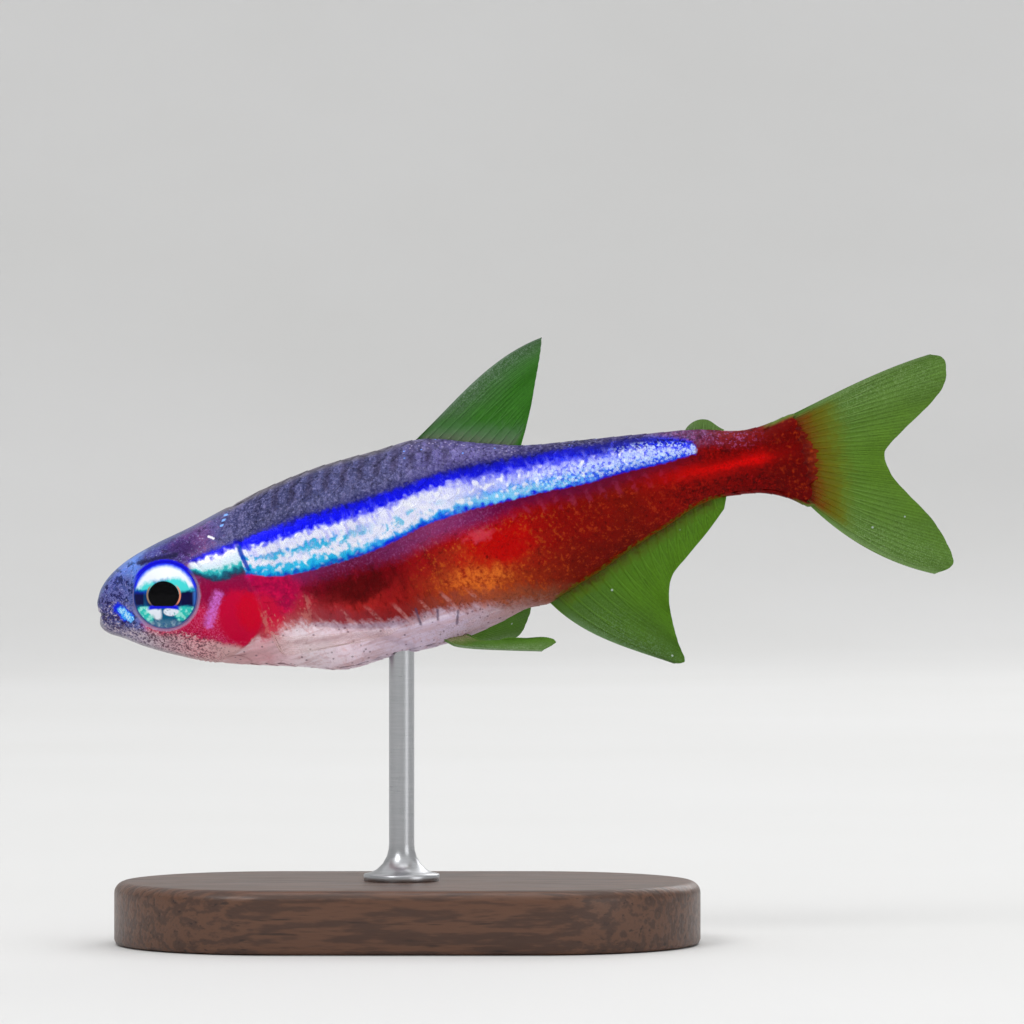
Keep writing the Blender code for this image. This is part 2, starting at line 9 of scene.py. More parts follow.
import bmesh
import bpy
import numpy as np
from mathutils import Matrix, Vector


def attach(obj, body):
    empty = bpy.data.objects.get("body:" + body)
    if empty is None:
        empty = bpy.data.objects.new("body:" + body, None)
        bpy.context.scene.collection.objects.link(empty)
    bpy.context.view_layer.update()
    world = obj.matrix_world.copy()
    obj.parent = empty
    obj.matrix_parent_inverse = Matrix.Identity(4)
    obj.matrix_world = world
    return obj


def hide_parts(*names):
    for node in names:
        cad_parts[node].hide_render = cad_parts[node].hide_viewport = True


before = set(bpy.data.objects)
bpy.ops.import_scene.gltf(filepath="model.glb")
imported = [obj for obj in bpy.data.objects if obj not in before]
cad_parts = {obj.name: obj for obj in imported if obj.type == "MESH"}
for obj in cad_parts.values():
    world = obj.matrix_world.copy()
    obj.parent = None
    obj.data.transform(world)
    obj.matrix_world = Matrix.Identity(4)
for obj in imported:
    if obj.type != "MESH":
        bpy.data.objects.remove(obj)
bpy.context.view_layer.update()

# Size and place of the fish
MM = 0.001
GAP = 0.3
SHARP_ANGLE = math.radians(55)
PITCH = math.radians(12)
SNOUT_X = -21.85
SNOUT_Z = 17.25
GILL_U = 8.2
HYPURAL_U = 36.6

# The body's outline, as (u, value)
BACK = ((0.0, 0.10), (0.1, 0.40), (0.3, 0.77), (1.0, 1.45), (2.0, 2.00), (3.5, 2.50), (5.5, 2.99),
        (7.5, 3.56), (10.0, 4.20), (12.5, 4.62), (15.5, 4.82), (18.0, 4.92), (20.9, 4.08),
        (23.0, 3.53), (26.0, 3.16), (29.0, 2.83), (32.0, 2.44), (34.2, 1.94), (35.4, 2.00),
        (36.6, 2.24))
BELLY = ((0.0, -1.02), (0.1, -1.30), (0.3, -1.50), (1.0, -1.90), (2.0, -2.56), (3.5, -3.33),
         (5.0, -3.98), (7.0, -4.54), (9.5, -5.18), (11.9, -5.82), (14.0, -5.66), (16.5, -5.62),
         (18.3, -5.45), (20.0, -5.08), (21.6, -4.66), (22.6, -4.66), (23.6, -4.30), (25.5, -3.60),
         (27.1, -2.90), (29.4, -2.03), (31.4, -1.28), (33.2, -1.24), (34.8, -1.52), (35.9, -2.06),
         (36.6, -2.60))
HALF_WIDTH = ((0.0, 0.46), (0.1, 0.64), (0.3, 0.86), (1.0, 1.28), (2.0, 1.72), (3.5, 2.14),
              (5.5, 2.48), (8.2, 2.68), (11.0, 2.72), (14.5, 2.60), (18.5, 2.26), (23.0, 1.76),
              (28.0, 1.26), (32.0, 0.96), (34.5, 0.78), (36.6, 0.52))
WIDEST_V = ((0.0, -0.46), (1.0, -0.25), (3.5, -0.25), (8.0, -0.10), (12.0, 0.10), (18.0, 0.35),
            (25.0, 0.25), (30.0, 0.45), (33.0, 0.50), (36.6, -0.05))
BACK_SHARP = ((0.0, 0.90), (3.5, 0.92), (8.0, 1.00), (14.0, 1.12), (36.6, 1.05))
BELLY_SHARP = ((0.0, 0.90), (4.0, 0.95), (10.0, 0.95), (16.0, 1.00), (22.0, 1.12), (36.6, 1.05))

# The gill cover's rear edge, as (v, u)
GILL_EDGE = ((-4.8, 5.1), (-4.2, 5.9), (-3.7, 6.9), (-3.0, 7.9), (-2.1, 8.30), (-1.3, 8.25),
             (0.0, 7.90), (1.8, 7.78), (3.8, 7.50))
GILL_TOP_V = 3.5
GILL_STEP = 0.060

# Mouth, jaw, cheek and nostrils, with lines as (u, v) and nostrils as (u, v, radius)
LIP_PROUD = 0.10
LIP_REACH = 0.26
MOUTH_DENT = 0.12
CHIN_V = -0.98
CHIN_PROUD = 0.07
MOUTH_V = -0.44
MOUTH_SLOPE = 0.70
MOUTH_LENGTH = 1.25
MOUTH_LINE = ((-0.3, -0.40), (0.10, -0.44), (0.36, -0.51), (0.60, -0.66), (0.97, -0.98), (1.22, -1.25))
JAW_BONE = ((0.95, -1.02), (1.5, -1.40), (2.09, -1.86), (2.3, -2.1))
CHEEK_EDGE = ((5.35, 1.0), (5.71, 0.41), (5.93, -0.53), (5.54, -1.65), (4.86, -2.39), (3.77, -2.62),
              (2.8, -2.5))
NOSTRILS = ((1.18, 0.62, 0.13), (1.62, 0.66, 0.18))

# Eyes, with their rings and the points in each
EYE_U = 3.60
EYE_V = -0.19
EYE_EDGE = 1.71
EYE_PROUD = 0.38
ORBIT_FADE = 2.35
SOCKET_DEPTH = 0.9
EYE_RINGS = 40
EYE_TURNS = 128

# Rings of the skin, and the ragged end of the flesh over the tail's root
SKIN_TURNS = 300
NOSE_RINGS = 14
NOSE_SHARES = (0.06, 0.97)
HEAD_RINGS = 130
BODY_RINGS = 140
ROOT_SHARES = np.linspace(0.1, 1.0, 10)
FLESH_END_U = 37.80
BODY_MIDDLE = (18.0, 0.0, 0.0)

# Markings, as (u, v) where they are lines
STRIPE_TOP = ((5.12, 1.32), (5.95, 1.51), (7.79, 1.8), (9.47, 2.07), (11.09, 2.3), (13.21, 2.43),
              (16.41, 2.74), (18.57, 3.01), (20.68, 3.09), (22.75, 3.01), (24.84, 2.99),
              (26.9, 2.81), (28.96, 2.69), (30.93, 2.16), (31.9, 1.75))
STRIPE_LOW = ((5.27, 0.55), (6.15, 0.0), (7.83, 0.01), (8.96, -0.33), (10.49, -0.5), (12.08, -0.42),
              (13.68, -0.29), (15.31, -0.01), (16.98, 0.47), (19.14, 0.8), (21.25, 0.87),
              (23.36, 0.95), (25.45, 0.92), (27.57, 1.05), (29.68, 1.12), (31.9, 1.25))
WHITE_EDGE = ((2.0, -3.2), (5.52, -2.95), (7.68, -2.63), (8.97, -2.74), (10.51, -2.86), (12.0, -3.24),
              (13.2, -3.52), (14.6, -3.72), (16.0, -3.68), (17.5, -3.66), (19.3, -3.84), (21.0, -4.05),
              (22.33, -4.2), (23.33, -4.35), (25.0, -4.9))

# Lean and size of the flesh's fibres, and the dark bars on the belly
FIBRE_LEAN = math.radians(30)
FIBRE_SCALE = (3.4, 1.6, 0.9)
BELLY_BARS = (
    ((15.92, -3.50), (16.0, -4.31)), ((16.99, -3.78), (16.92, -4.24)), ((18.02, -4.04), (17.8, -4.69)),
)

# Tints of the fins' roots, as (colours by length along the rays, where they end)
DORSAL_TINT = (((0.0, (94, 112, 84)), (0.4, (84, 116, 78)), (0.9, (68, 112, 60)),
                (1.8, (52, 104, 36))), 1.8)
ANAL_TINT = (((0.0, (78, 66, 8)), (0.16, (74, 84, 12)), (0.40, (78, 104, 20)), (0.9, (76, 116, 24))), 0.9)
PELVIC_TINT = (((0.0, (140, 138, 100)), (0.35, (112, 130, 74)), (0.8, (94, 122, 54)),
                (1.4, (80, 120, 38))), 1.4)
TAIL_TINT = (((0.0, (116, 12, 2)), (0.35, (114, 36, 3)), (0.75, (112, 66, 5)), (1.35, (102, 92, 10)),
              (2.3, (98, 112, 26)), (3.3, (86, 114, 38))), 3.3)

# The fins' looks, as (fin, (name, leaf, veil, vein and rim), what else differs)
FIN_OPACITY = (0.92, 0.08)
CLEAR_OPACITY = (0.05, 0.22)
FIN_COLOURS = (
    ("dorsal", ("dorsal_green", (50, 108, 28), (68, 100, 62), (84, 132, 68), (146, 164, 150)),
     {"root": DORSAL_TINT}),
    ("anal", ("anal_green", (76, 118, 22), (68, 100, 36), (90, 130, 44), (118, 146, 112)),
     {"root": ANAL_TINT}),
    ("tail", ("tail_green", (84, 120, 34), (84, 118, 50), (122, 152, 84), (132, 158, 108)),
     {"root": TAIL_TINT, "forked": True}),
    ("adipose", ("adipose_green", (90, 122, 60), (96, 124, 76), (112, 140, 84), (150, 166, 134)), {}),
    ("pelvic", ("pelvic_green", (78, 120, 34), (88, 120, 62), (120, 154, 90), (150, 170, 142)),
     {"root": PELVIC_TINT}),
    ("pectoral", ("clear_fin", (214, 180, 172), (214, 180, 172), (230, 206, 200), (226, 210, 206)),
     {"opacity": CLEAR_OPACITY}),
)

# Scales
SCALE_SPACING = ((7.0, 0.88), (28.0, 0.88), (36.0, 0.70))
SCALE_PITCH = ((7.0, 0.95), (14.0, 0.95), (34.0, 0.62), (36.6, 0.60))
SCALE_LENGTH = 1.72
SCALE_WIDTH = 1.34
SCALE_THICK = 0.020
SCALE_SINK = 0.020
SCALE_TILT = 0.024
SCALE_FIRST_U = 5.2
SCALE_LAST_U = 36.0
SCALE_REAR_U = 37.0
SCALE_STEPS = 8
SCALE_ROWS = 9
COAT_SPLIT_U = 20.0
COAT_DEPTH = 0.06
BAKE_PATCH = 0.003
MAP_LENGTH = 38.0

# Fins, as (u, v) in the middle plane or (u, off, v) beside it
DORSAL_ROOT = (18.1, 23.05)
DORSAL_EDGE = ((25.10, 8.74), (24.88, 8.05), (24.57, 7.25), (24.22, 6.40), (23.84, 5.45), (23.30, 4.30))
DORSAL_BOW = (0.26, 0.86)
ANAL_ROOT = (22.85, 32.52)
ANAL_EDGE = ((28.25, -9.02), (28.82, -8.98), (28.68, -8.00), (28.62, -6.90), (28.68, -5.70),
             (29.10, -4.58), (30.10, -3.74), (31.28, -2.80), (32.40, -1.80))
ANAL_BOW = (-0.72, -0.25)
FORK_V = -1.17
FORK_U = 40.98
UPPER_TAIL_EDGE = ((44.35, 3.76), (45.02, 3.36), (44.80, 2.20), (43.88, 1.30), (42.26, 0.28),
                   (41.14, -0.54), (FORK_U, FORK_V))
UPPER_TAIL_BOW = (0.12, 0.32)
LOWER_TAIL_EDGE = ((42.25, -7.30), (43.24, -7.04), (43.24, -6.04), (42.72, -4.56), (41.80, -3.05),
                   (41.20, -2.00), (FORK_U, FORK_V))
LOWER_TAIL_BOW = (-0.62, -0.66)
TAIL_FLARE = 0.20
TAIL_ROOT_SPLIT = -0.06
ADIPOSE_ROOT = (31.25, 33.15)
ADIPOSE_HIGH = 0.54
ADIPOSE_LEAN = 0.10
PECTORAL_FEET = ((8.62, -3.10), (8.80, -3.92))
PECTORAL_EDGE = ((14.95, 3.50, -4.24), (14.62, 3.36, -4.42), (13.92, 3.14, -4.52), (13.00, 2.92, -4.54),
                 (12.05, 2.76, -4.48))
PECTORAL_LIFT = 0.85
PECTORAL_LEAN = 0.35
PELVIC_FEET = {"left": ((17.30, -5.34), (18.50, -5.32)), "right": ((17.30, -5.34), (18.60, -4.90))}
PELVIC_EDGE = {
    "left": ((21.75, 3.00, -6.88), (22.52, 2.75, -6.66), (22.30, 2.35, -6.34), (21.30, 1.90, -6.14),
             (20.20, 1.55, -5.97)),
    "right": ((20.50, 3.95, -6.16), (21.02, 3.80, -5.76), (21.45, 3.45, -5.22), (21.62, 2.95, -4.62),
              (21.20, 2.55, -4.20)),
}
PELVIC_LIFT = 0.45
PELVIC_LEAN = 0.90
FOOT_CLEAR = 0.08
GUIDE_SHARE = 0.30
FIN_SINK = 0.75
DORSAL_RAYS = 11
ANAL_RAYS = 19
TAIL_RAYS = 21
ADIPOSE_RAYS = 5
PELVIC_RAYS = 8
PECTORAL_RAYS = 11
RAY_COLUMNS = 24
FIN_ROWS = 52
ADIPOSE_ROWS = 14
SUNK_ROWS = 4
SCALLOP = 0.010
MEMBRANE = (0.080, 0.045)
RAY_THICK = (0.110, 0.022)
FIN_WAVE = 0.10
PAIRED_WAVE = 0.04
PECTORAL_THICK = 0.7

# Stand
BASE_LENGTH = 30
BASE_WIDTH = 17
BASE_HEIGHT = 3.2
BASE_ROUND = 0.6
BASE_X = -6.0
ROD_RADIUS = 0.65
ROD_X = -6.3
ROD_FOOT = ((1.90, 0.0), (1.94, 0.06), (1.94, 0.30), (1.90, 0.36), (1.60, 0.42), (1.30, 0.56),
            (0.98, 0.86), (0.76, 1.25), (0.67, 1.60), (ROD_RADIUS, 1.9))
BASE_TURNS = 160
ROD_TURNS = 96
ROD_SINK = 0.25

# Studio, in metres
FLOOR_FLAT = 0.55
WALL_RADIUS = 1.2
WALL_HEIGHT = 0.9
FLOOR_DROP = 0.00002
MODEL_MIDDLE = (0.0, 0.0, 0.018)
LIGHTS = (
    ("key", (-0.30, -0.42, 0.48), 0.30, 1.3), ("fill", (0.45, -0.40, 0.16), 0.35, 0.5),
    ("top", (0.05, 0.02, 0.60), 0.40, 0.7), ("back", (0.25, 0.50, 0.30), 0.35, 0.7),
)
SKY_STRENGTH = 0.95
CAMERA_PLACE = (-0.00065, -0.30, 0.02207)
CAMERA_LENS = 206.0
SENSOR_WIDTH = 36.0

# Colours
INK = (5, 5, 14)
BACK_RIM = (128, 122, 116)
ROYAL = (14, 18, 240)
PEARL = (232, 234, 255)

# Colours across the bright stripe from below, from its front to its end
STRIPE_COLOURS = (
    ((0.0, (20, 70, 190)), (0.05, (10, 130, 210)), (0.13, (36, 180, 234)), (0.20, (60, 192, 236)),
     (0.26, PEARL), (0.35, PEARL), (0.41, (80, 194, 236)), (0.48, (44, 172, 228)), (0.54, PEARL),
     (0.66, PEARL), (0.72, (112, 118, 250)), (0.77, ROYAL), (0.92, (16, 18, 210)), (1.0, (14, 14, 120))),
    ((0.0, (16, 40, 220)), (0.06, (22, 100, 230)), (0.13, (66, 172, 242)), (0.22, PEARL),
     (0.64, PEARL), (0.71, (146, 148, 252)), (0.77, ROYAL), (0.92, (16, 20, 210)), (1.0, (16, 16, 120))),
    ((0.0, (20, 40, 232)), (0.03, (50, 120, 242)), (0.09, (112, 198, 248)), (0.18, (130, 206, 250)),
     (0.28, (88, 160, 246)), (0.38, (160, 180, 252)), (0.47, (196, 202, 254)), (0.57, (160, 166, 250)),
     (0.66, (84, 86, 240)), (0.75, (12, 16, 210)), (0.93, (14, 16, 158)), (1.0, (14, 14, 96))),
    ((0.0, (20, 26, 214)), (0.10, (30, 80, 234)), (0.22, (84, 140, 246)), (0.34, (176, 192, 252)),
     (0.54, (160, 172, 248)), (0.63, (62, 68, 214)), (0.70, (18, 20, 168)), (0.84, (22, 24, 124)),
     (1.0, (24, 22, 100))),
)


def rgb(colour):
    """A screen colour from 0 to 255 as a linear one with full opacity."""
    parts = [c / 255 for c in colour]
    return (*[p / 12.92 if p <= 0.04045 else ((p + 0.055) / 1.055) ** 2.4 for p in parts], 1.0)


# Curves and the body's surface

def smooth(knots, x):
    """Smooth curve through (x, value) knots, at each x."""
    xs, ys = np.array(knots, float).T
    at = np.clip(x, xs[0], xs[-1])
    gaps = np.diff(xs)
    steps = np.diff(ys) / gaps
    inner = (steps[:-1] * gaps[1:] + steps[1:] * gaps[:-1]) / (gaps[1:] + gaps[:-1])
    slopes = np.concatenate((steps[:1], inner, steps[-1:]))
    i = np.clip(np.searchsorted(xs, at, side="right") - 1, 0, len(xs) - 2)
    t = (at - xs[i]) / gaps[i]
    return (
        (2 * t**3 - 3 * t**2 + 1) * ys[i] + (t**3 - 2 * t**2 + t) * gaps[i] * slopes[i]
        + (3 * t**2 - 2 * t**3) * ys[i + 1] + (t**3 - t**2) * gaps[i] * slopes[i + 1]
    )


def blunt(knots, u):
    """smooth() drawn against the root of u, so that the snout ends round."""
    return smooth([(math.sqrt(a), b) for a, b in knots], np.sqrt(np.maximum(u, 0.0)))


def fade(x, start, end):
    """1 before start, 0 after end, smooth between."""
    t = np.clip((x - start) / (end - start), 0.0, 1.0)
    return 1 - t * t * (3 - 2 * t)


def bump(x, width):
    return np.exp(-((x / width) ** 2))


def path(points, t):
    """Points at t from 0 to 1 on a smooth curve through evenly counted points."""
    points = np.array(points, float)
    last = len(points) - 1
    at = np.clip(t, 0.0, 1.0) * last
    i = np.minimum(at.astype(int), last - 1)
    f = (at - i)[:, None]
    a, b = points[np.maximum(i - 1, 0)], points[i]
    c, d = points[i + 1], points[np.minimum(i + 2, last)]
    return 0.5 * (2 * b + (c - a) * f + (2 * a - 5 * b + 4 * c - d) * f**2 + (3 * b - a - 3 * c + d) * f**3)


def off_line(u, v, line):
    """Distance from each (u, v) to a line of points, positive on the line's left."""
    best = np.full(np.shape(u), 1e9)
    side = np.ones(np.shape(u))
    for (au, av), (bu, bv) in zip(line[:-1], line[1:]):
        du, dv = bu - au, bv - av
        t = np.clip(((u - au) * du + (v - av) * dv) / (du * du + dv * dv), 0.0, 1.0)
        distance = np.hypot(u - au - t * du, v - av - t * dv)
        nearer = distance < best
        best = np.where(nearer, distance, best)
        side = np.where(nearer, np.sign(du * (v - av) - dv * (u - au)), side)
    return best * side


def nose_shift(v):
    """How far the snout's end falls back at the mouth and stands forward at the chin."""
    return MOUTH_DENT * bump(v - MOUTH_V, LIP_REACH) - CHIN_PROUD * bump(v - CHIN_V, LIP_REACH)


def skin_point(u, angle):
    """Point (u, y, v) of the smooth body. Angle 0 is the back, a quarter turn the left side."""
    u, angle = np.broadcast_arrays(np.asarray(u, float), np.asarray(angle, float))
    top, low, widest = blunt(BACK, u), blunt(BELLY, u), blunt(WIDEST_V, u)
    up, across = np.cos(angle), np.sin(angle)
    sharp = np.where(up > 0, blunt(BACK_SHARP, u), blunt(BELLY_SHARP, u))
    y = -blunt(HALF_WIDTH, u) * np.sign(across) * np.abs(across) ** sharp
    v = widest + up * np.where(up > 0, top - widest, widest - low)
    lip = LIP_PROUD * bump(v - MOUTH_V + MOUTH_SLOPE * u, LIP_REACH) * fade(u, 0.5, MOUTH_LENGTH)
    return np.stack((u + nose_shift(v) * fade(u, 0.0, 0.5), y * (1 + lip * 0.8), v), -1)


def skin_normal(u, angle):
    """The way out of the smooth body's surface."""
    step = 0.02
    along = skin_point(u + step, angle) - skin_point(u - step, angle)
    around = skin_point(u, angle + step) - skin_point(u, angle - step)
    out = np.cross(around, along)
    return out / np.linalg.norm(out, axis=-1, keepdims=True)


def side_reach(u, v):
    """Height of the widest line at u, and how far the body reaches from it towards height v."""
    widest = blunt(WIDEST_V, u)
    return widest, np.where(v > widest, blunt(BACK, u) - widest, widest - blunt(BELLY, u))


def half_width(u, v):
    """How far the smooth body's side stands from the middle plane at height v."""
    widest, reach = side_reach(u, v)
    share = np.clip(np.abs(v - widest) / reach, 0.0, 1.0)
    sharp = np.where(v > widest, blunt(BACK_SHARP, u), blunt(BELLY_SHARP, u))
    return blunt(HALF_WIDTH, u) * (1 - share**2) ** (sharp / 2)


def side_angle(u, v, side):
    """Angle of the skin at u and height v, on the left (-1) or the right (1) side."""
    widest, reach = side_reach(u, v)
    return -side * np.arccos(np.clip((v - widest) / reach, -1.0, 1.0))


def run_lengths(rows):
    """Length run along each row of points, from 0 at its first."""
    steps = np.linalg.norm(np.diff(rows, axis=1), axis=2)
    return np.concatenate((np.zeros((len(rows), 1)), np.cumsum(steps, axis=1)), axis=1)


def place(points):
    """Body frame in millimetres to the row frame in metres."""
    u, y, v = np.moveaxis(np.asarray(points, float), -1, 0)
    x = SNOUT_X + u * math.cos(PITCH) - v * math.sin(PITCH)
    z = SNOUT_Z + u * math.sin(PITCH) + v * math.cos(PITCH)
    return np.stack((x, y, z), -1) * MM


# Making pieces

def build(name, points, faces, fields=None, uv=None):
    """An object from row-frame points in metres and its faces, with named point fields and, where
    given, a bake map of one (u, v) for each face corner."""
    mesh = bpy.data.meshes.new(name)
    mesh.from_pydata(np.asarray(points).tolist(), [], faces)
    for field, values in (fields or {}).items():
        layer = mesh.attributes.new(field, "FLOAT_VECTOR", "POINT")
        layer.data.foreach_set("vector", np.asarray(values, np.float32).ravel())
    if uv is not None:
        layer = mesh.uv_layers.new(name="OFBake")
        layer.data.foreach_set("uv", np.asarray(uv, np.float32).ravel())
    work = bmesh.new()
    work.from_mesh(mesh)
    bmesh.ops.recalc_face_normals(work, faces=work.faces)
    work.to_mesh(mesh)
    work.free()
    mesh.shade_smooth()
    mesh.set_sharp_from_angle(angle=SHARP_ANGLE)
    made = bpy.data.objects.new(name, mesh)
    bpy.context.scene.collection.objects.link(made)
    return made


def dress(piece, finish, slot, *nodes):
    """Gives a piece its material, and ties it to the frame."""
    piece.data.materials.clear()
    piece.data.materials.append(finish)
    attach(piece, "root")
    if nodes:
        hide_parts(*nodes)


def grid_faces(rows, columns, closed=False):
    """Quads of a grid of rows times columns points, as an array. A closed one joins its last column to
    its first."""
    i, j = np.meshgrid(np.arange(rows - 1), np.arange(columns if closed else columns - 1), indexing="ij")
    k = (j + 1) % columns
    quads = (i * columns + j, i * columns + k, (i + 1) * columns + k, (i + 1) * columns + j)
    return np.stack(quads, -1).reshape(-1, 4)


def tube_faces(rows, turns):
    """Faces of a closed tube of rings: its quads, then its first and its last end."""
    faces = grid_faces(rows, turns, closed=True).tolist()
    return faces + [list(range(turns)), list(range((rows - 1) * turns, rows * turns))]


def sheet_faces(rows, columns):
    """Quads of a closed sheet: a grid of points, the same grid below it, and the rim between them."""
    size = rows * columns
    top = grid_faces(rows, columns)
    index = np.arange(size).reshape(rows, columns)
    around = np.concatenate((index[0, :-1], index[:-1, -1], index[-1, :0:-1], index[:0:-1, 0]))
    ahead = np.roll(around, -1)
    side = np.stack((around, ahead, ahead + size, around + size), -1)
    return np.concatenate((top, top[:, ::-1] + size, side))


def turned(profile, steps, centre, stretch=0.0):
    """Points and faces of an upright turned form. profile is (radius, height) from the bottom up, and
    stretch pulls its two halves apart along X."""
    turn = np.arange(steps) * math.tau / steps
    shift = np.where(np.cos(turn) >= 0, stretch, -stretch)
    rings = [
        np.stack((centre + shift * (r > 0) + r * np.cos(turn), r * np.sin(turn), np.full(steps, z)), -1)
        for r, z in profile
    ]
    return np.concatenate(rings) * MM, tube_faces(len(profile), steps)


# What the markings follow

def marks(points):
    """The fields that the flesh's markings follow, at body-frame points."""
    u, v = points[:, 0], points[:, 2]
    low, high = smooth(STRIPE_LOW, u), smooth(STRIPE_TOP, u)
    white = smooth(WHITE_EDGE, u)
    flank = np.maximum(low - white, 0.5)
    eye = np.hypot(u - EYE_U, v - EYE_V) / EYE_EDGE
    return {
        "body": points,
        "stripe": np.stack(((v - low) / (high - low), v - low, v - high), -1),
        "zones": np.stack((blunt(BACK, u) - v, v - white, u - smooth(GILL_EDGE, v)), -1),
        "lines": np.stack((0 * u, (v - white) / flank, eye), -1),
        "edges": np.stack((v - blunt(BELLY, u), 0 * u, 0 * u), -1),
    }


# Skin

def eye_plane():
    """Coefficients of the plane that the eye's edge lies in: off = a + b (u - EYE_U) + c (v - EYE_V)."""
    turn = np.arange(64) * math.tau / 64
    du, dv = EYE_EDGE * np.cos(turn), EYE_EDGE * np.sin(turn)
    rows = np.stack((np.ones(64), du, dv), -1)
    return np.linalg.lstsq(rows, half_width(EYE_U + du, EYE_V + dv), rcond=None)[0]


def plane_off(u, v):
    a, b, c = eye_plane()
    return a + b * (u - EYE_U) + c * (v - EYE_V)


def gill_edge(u, v):
    """How far behind the gill cover's edge a place lies, and how much the edge shows at its height."""
    shown = fade(v, GILL_TOP_V - 0.5, GILL_TOP_V + 0.1) * fade(-v, 3.3, 4.2)
    return u - smooth(GILL_EDGE, v), shown


def gill_slit(u, v):
    """How far the surface drops just behind the gill cover."""
    behind, shown = gill_edge(u, v)
    return GILL_STEP * fade(behind, 0.15, 1.4) * fade(-behind, -0.02, 0.06) * shown


def gill_relief(points):
    """The gill cover's raised rear edge, the slit behind it and the folds under the throat."""
    u, _, v = points.T
    behind, shown = gill_edge(u, v)
    edge = GILL_STEP * 0.5 * bump(behind + 0.22, 0.30) * (behind < 0) * shown
    folds = 0.022 * np.cos(behind * math.tau / 0.42) * fade(v, -4.0, -3.4)
    return edge - gill_slit(u, v) + folds * (behind < 0) * (behind > -2.6)


def head_relief(points):
    """Mouth, lips, jaw bones, cheek plate and nostrils."""
    u, y, v = points.T
    mouth = off_line(u, v, MOUTH_LINE)
    mouth_ends = fade(u, 1.0, 1.4)
    height = -0.13 * bump(mouth, 0.050) * mouth_ends * (1 - 0.35 * fade(-u, -0.9, -0.2))
    height += 0.040 * (bump(mouth - 0.17, 0.10) + 0.9 * bump(mouth + 0.17, 0.11)) * mouth_ends
    jaw = off_line(u, v, JAW_BONE)
    height += 0.055 * bump(jaw - 0.02, 0.13) - 0.050 * bump(jaw + 0.20, 0.07)
    cheek = off_line(u, v, CHEEK_EDGE)
    height += 0.050 * bump(cheek + 0.10, 0.13) - 0.060 * bump(cheek - 0.12, 0.09)
    height -= 0.05 * bump(y, 0.10) * fade(v, -3.0, -2.2) * fade(u, 5.5, 6.5)
    for nu, nv, radius in NOSTRILS:
        near = np.hypot(u - nu, v - nv)
        height += 0.035 * bump(near - radius * 1.3, 0.06) - 0.16 * bump(near, radius * 0.7)
    return height


def with_orbits(points):
    """Sinks the eyes' sockets into the skin and draws their rims to the eyes' plane."""
    u, y, v = points.T
    near = np.hypot(u - EYE_U, v - EYE_V)
    rim = 0.05 * bump(near - EYE_EDGE - 0.12, 0.12) - 0.05 * bump(near - EYE_EDGE, 0.05)
    level = plane_off(u, v) + rim - SOCKET_DEPTH * fade(near, EYE_EDGE - 0.30, EYE_EDGE - 0.02)
    pull = fade(near, EYE_EDGE + 0.10, ORBIT_FADE) * (np.abs(y) > 0.4)
    moved = points.copy()
    moved[:, 1] += (level - np.abs(y)) * pull * np.sign(y)
    return moved


def nose_rings(angle):
    """Rings that close the front of the snout."""
    rim = skin_point(0.0, angle)
    middle = np.array((0.0, 0.0, MOUTH_V))
    rings = []
    for share in np.linspace(*NOSE_SHARES, NOSE_RINGS):
        ring = middle + (rim - middle) * share
        ring[:, 0] = nose_shift(ring[:, 2]) - 0.05 * (1 - share**2)
        rings.append(ring)
    return rings


def root_rings(last):
    """Rings that run out over the tail's root to a ragged edge."""
    v = last[:, 2]
    fingers = 0.10 * np.sin(v * 13.0) + 0.08 * np.sin(v * 5.1 + 1.0)
    reach = np.maximum(FLESH_END_U + fingers - 0.24 * (v + 0.1) ** 2, HYPURAL_U + 0.06)
    rings = []
    for share in ROOT_SHARES:
        ring = last.copy()
        ring[:, 0] = HYPURAL_U + (reach - HYPURAL_U) * share
        ring[:, 1] *= (1 - share) * 0.94 + 0.06
        ring[:, 2] *= 1 - 0.03 * share**2
        rings.append(ring)
    return rings


def skin_grid():
    """Rings of smooth skin points from the snout's tip to the tail's root, and each one's station."""
    angle = np.arange(SKIN_TURNS) * math.tau / SKIN_TURNS
    edge = smooth(GILL_EDGE, skin_point(7.5, angle)[:, 2])
    rings = nose_rings(angle)
    stations = [0.0] * NOSE_RINGS
    for k in range(HEAD_RINGS + 1):
        station = GILL_U * (k / HEAD_RINGS) ** 1.3
        rings.append(skin_point(station + (edge - GILL_U) * (station / GILL_U) ** 2, angle))
        stations.append(station)
    for k in range(1, BODY_RINGS + 1):
        done = k / BODY_RINGS
        station = GILL_U + (HYPURAL_U - GILL_U) * done
        rings.append(skin_point(station + (edge - GILL_U) * (1 - done) ** 6, angle))
        stations.append(station)
    rings += root_rings(rings[-1])
    stations += [HYPURAL_U + share for share in ROOT_SHARES]
    return np.array(rings), np.array(stations)


def outward_normals(points, faces):
    """The way out at each point of a closed mesh."""
    plain = bpy.data.meshes.new("plain_skin")
    plain.from_pydata(points.tolist(), [], faces)
    normals = np.zeros(len(points) * 3, np.float32)
    plain.vertex_normals.foreach_get("vector", normals)
    bpy.data.meshes.remove(plain)
    normals = normals.reshape(-1, 3)
    return normals * np.sign(np.sum(normals * (points - np.array(BODY_MIDDLE)), axis=1).sum())


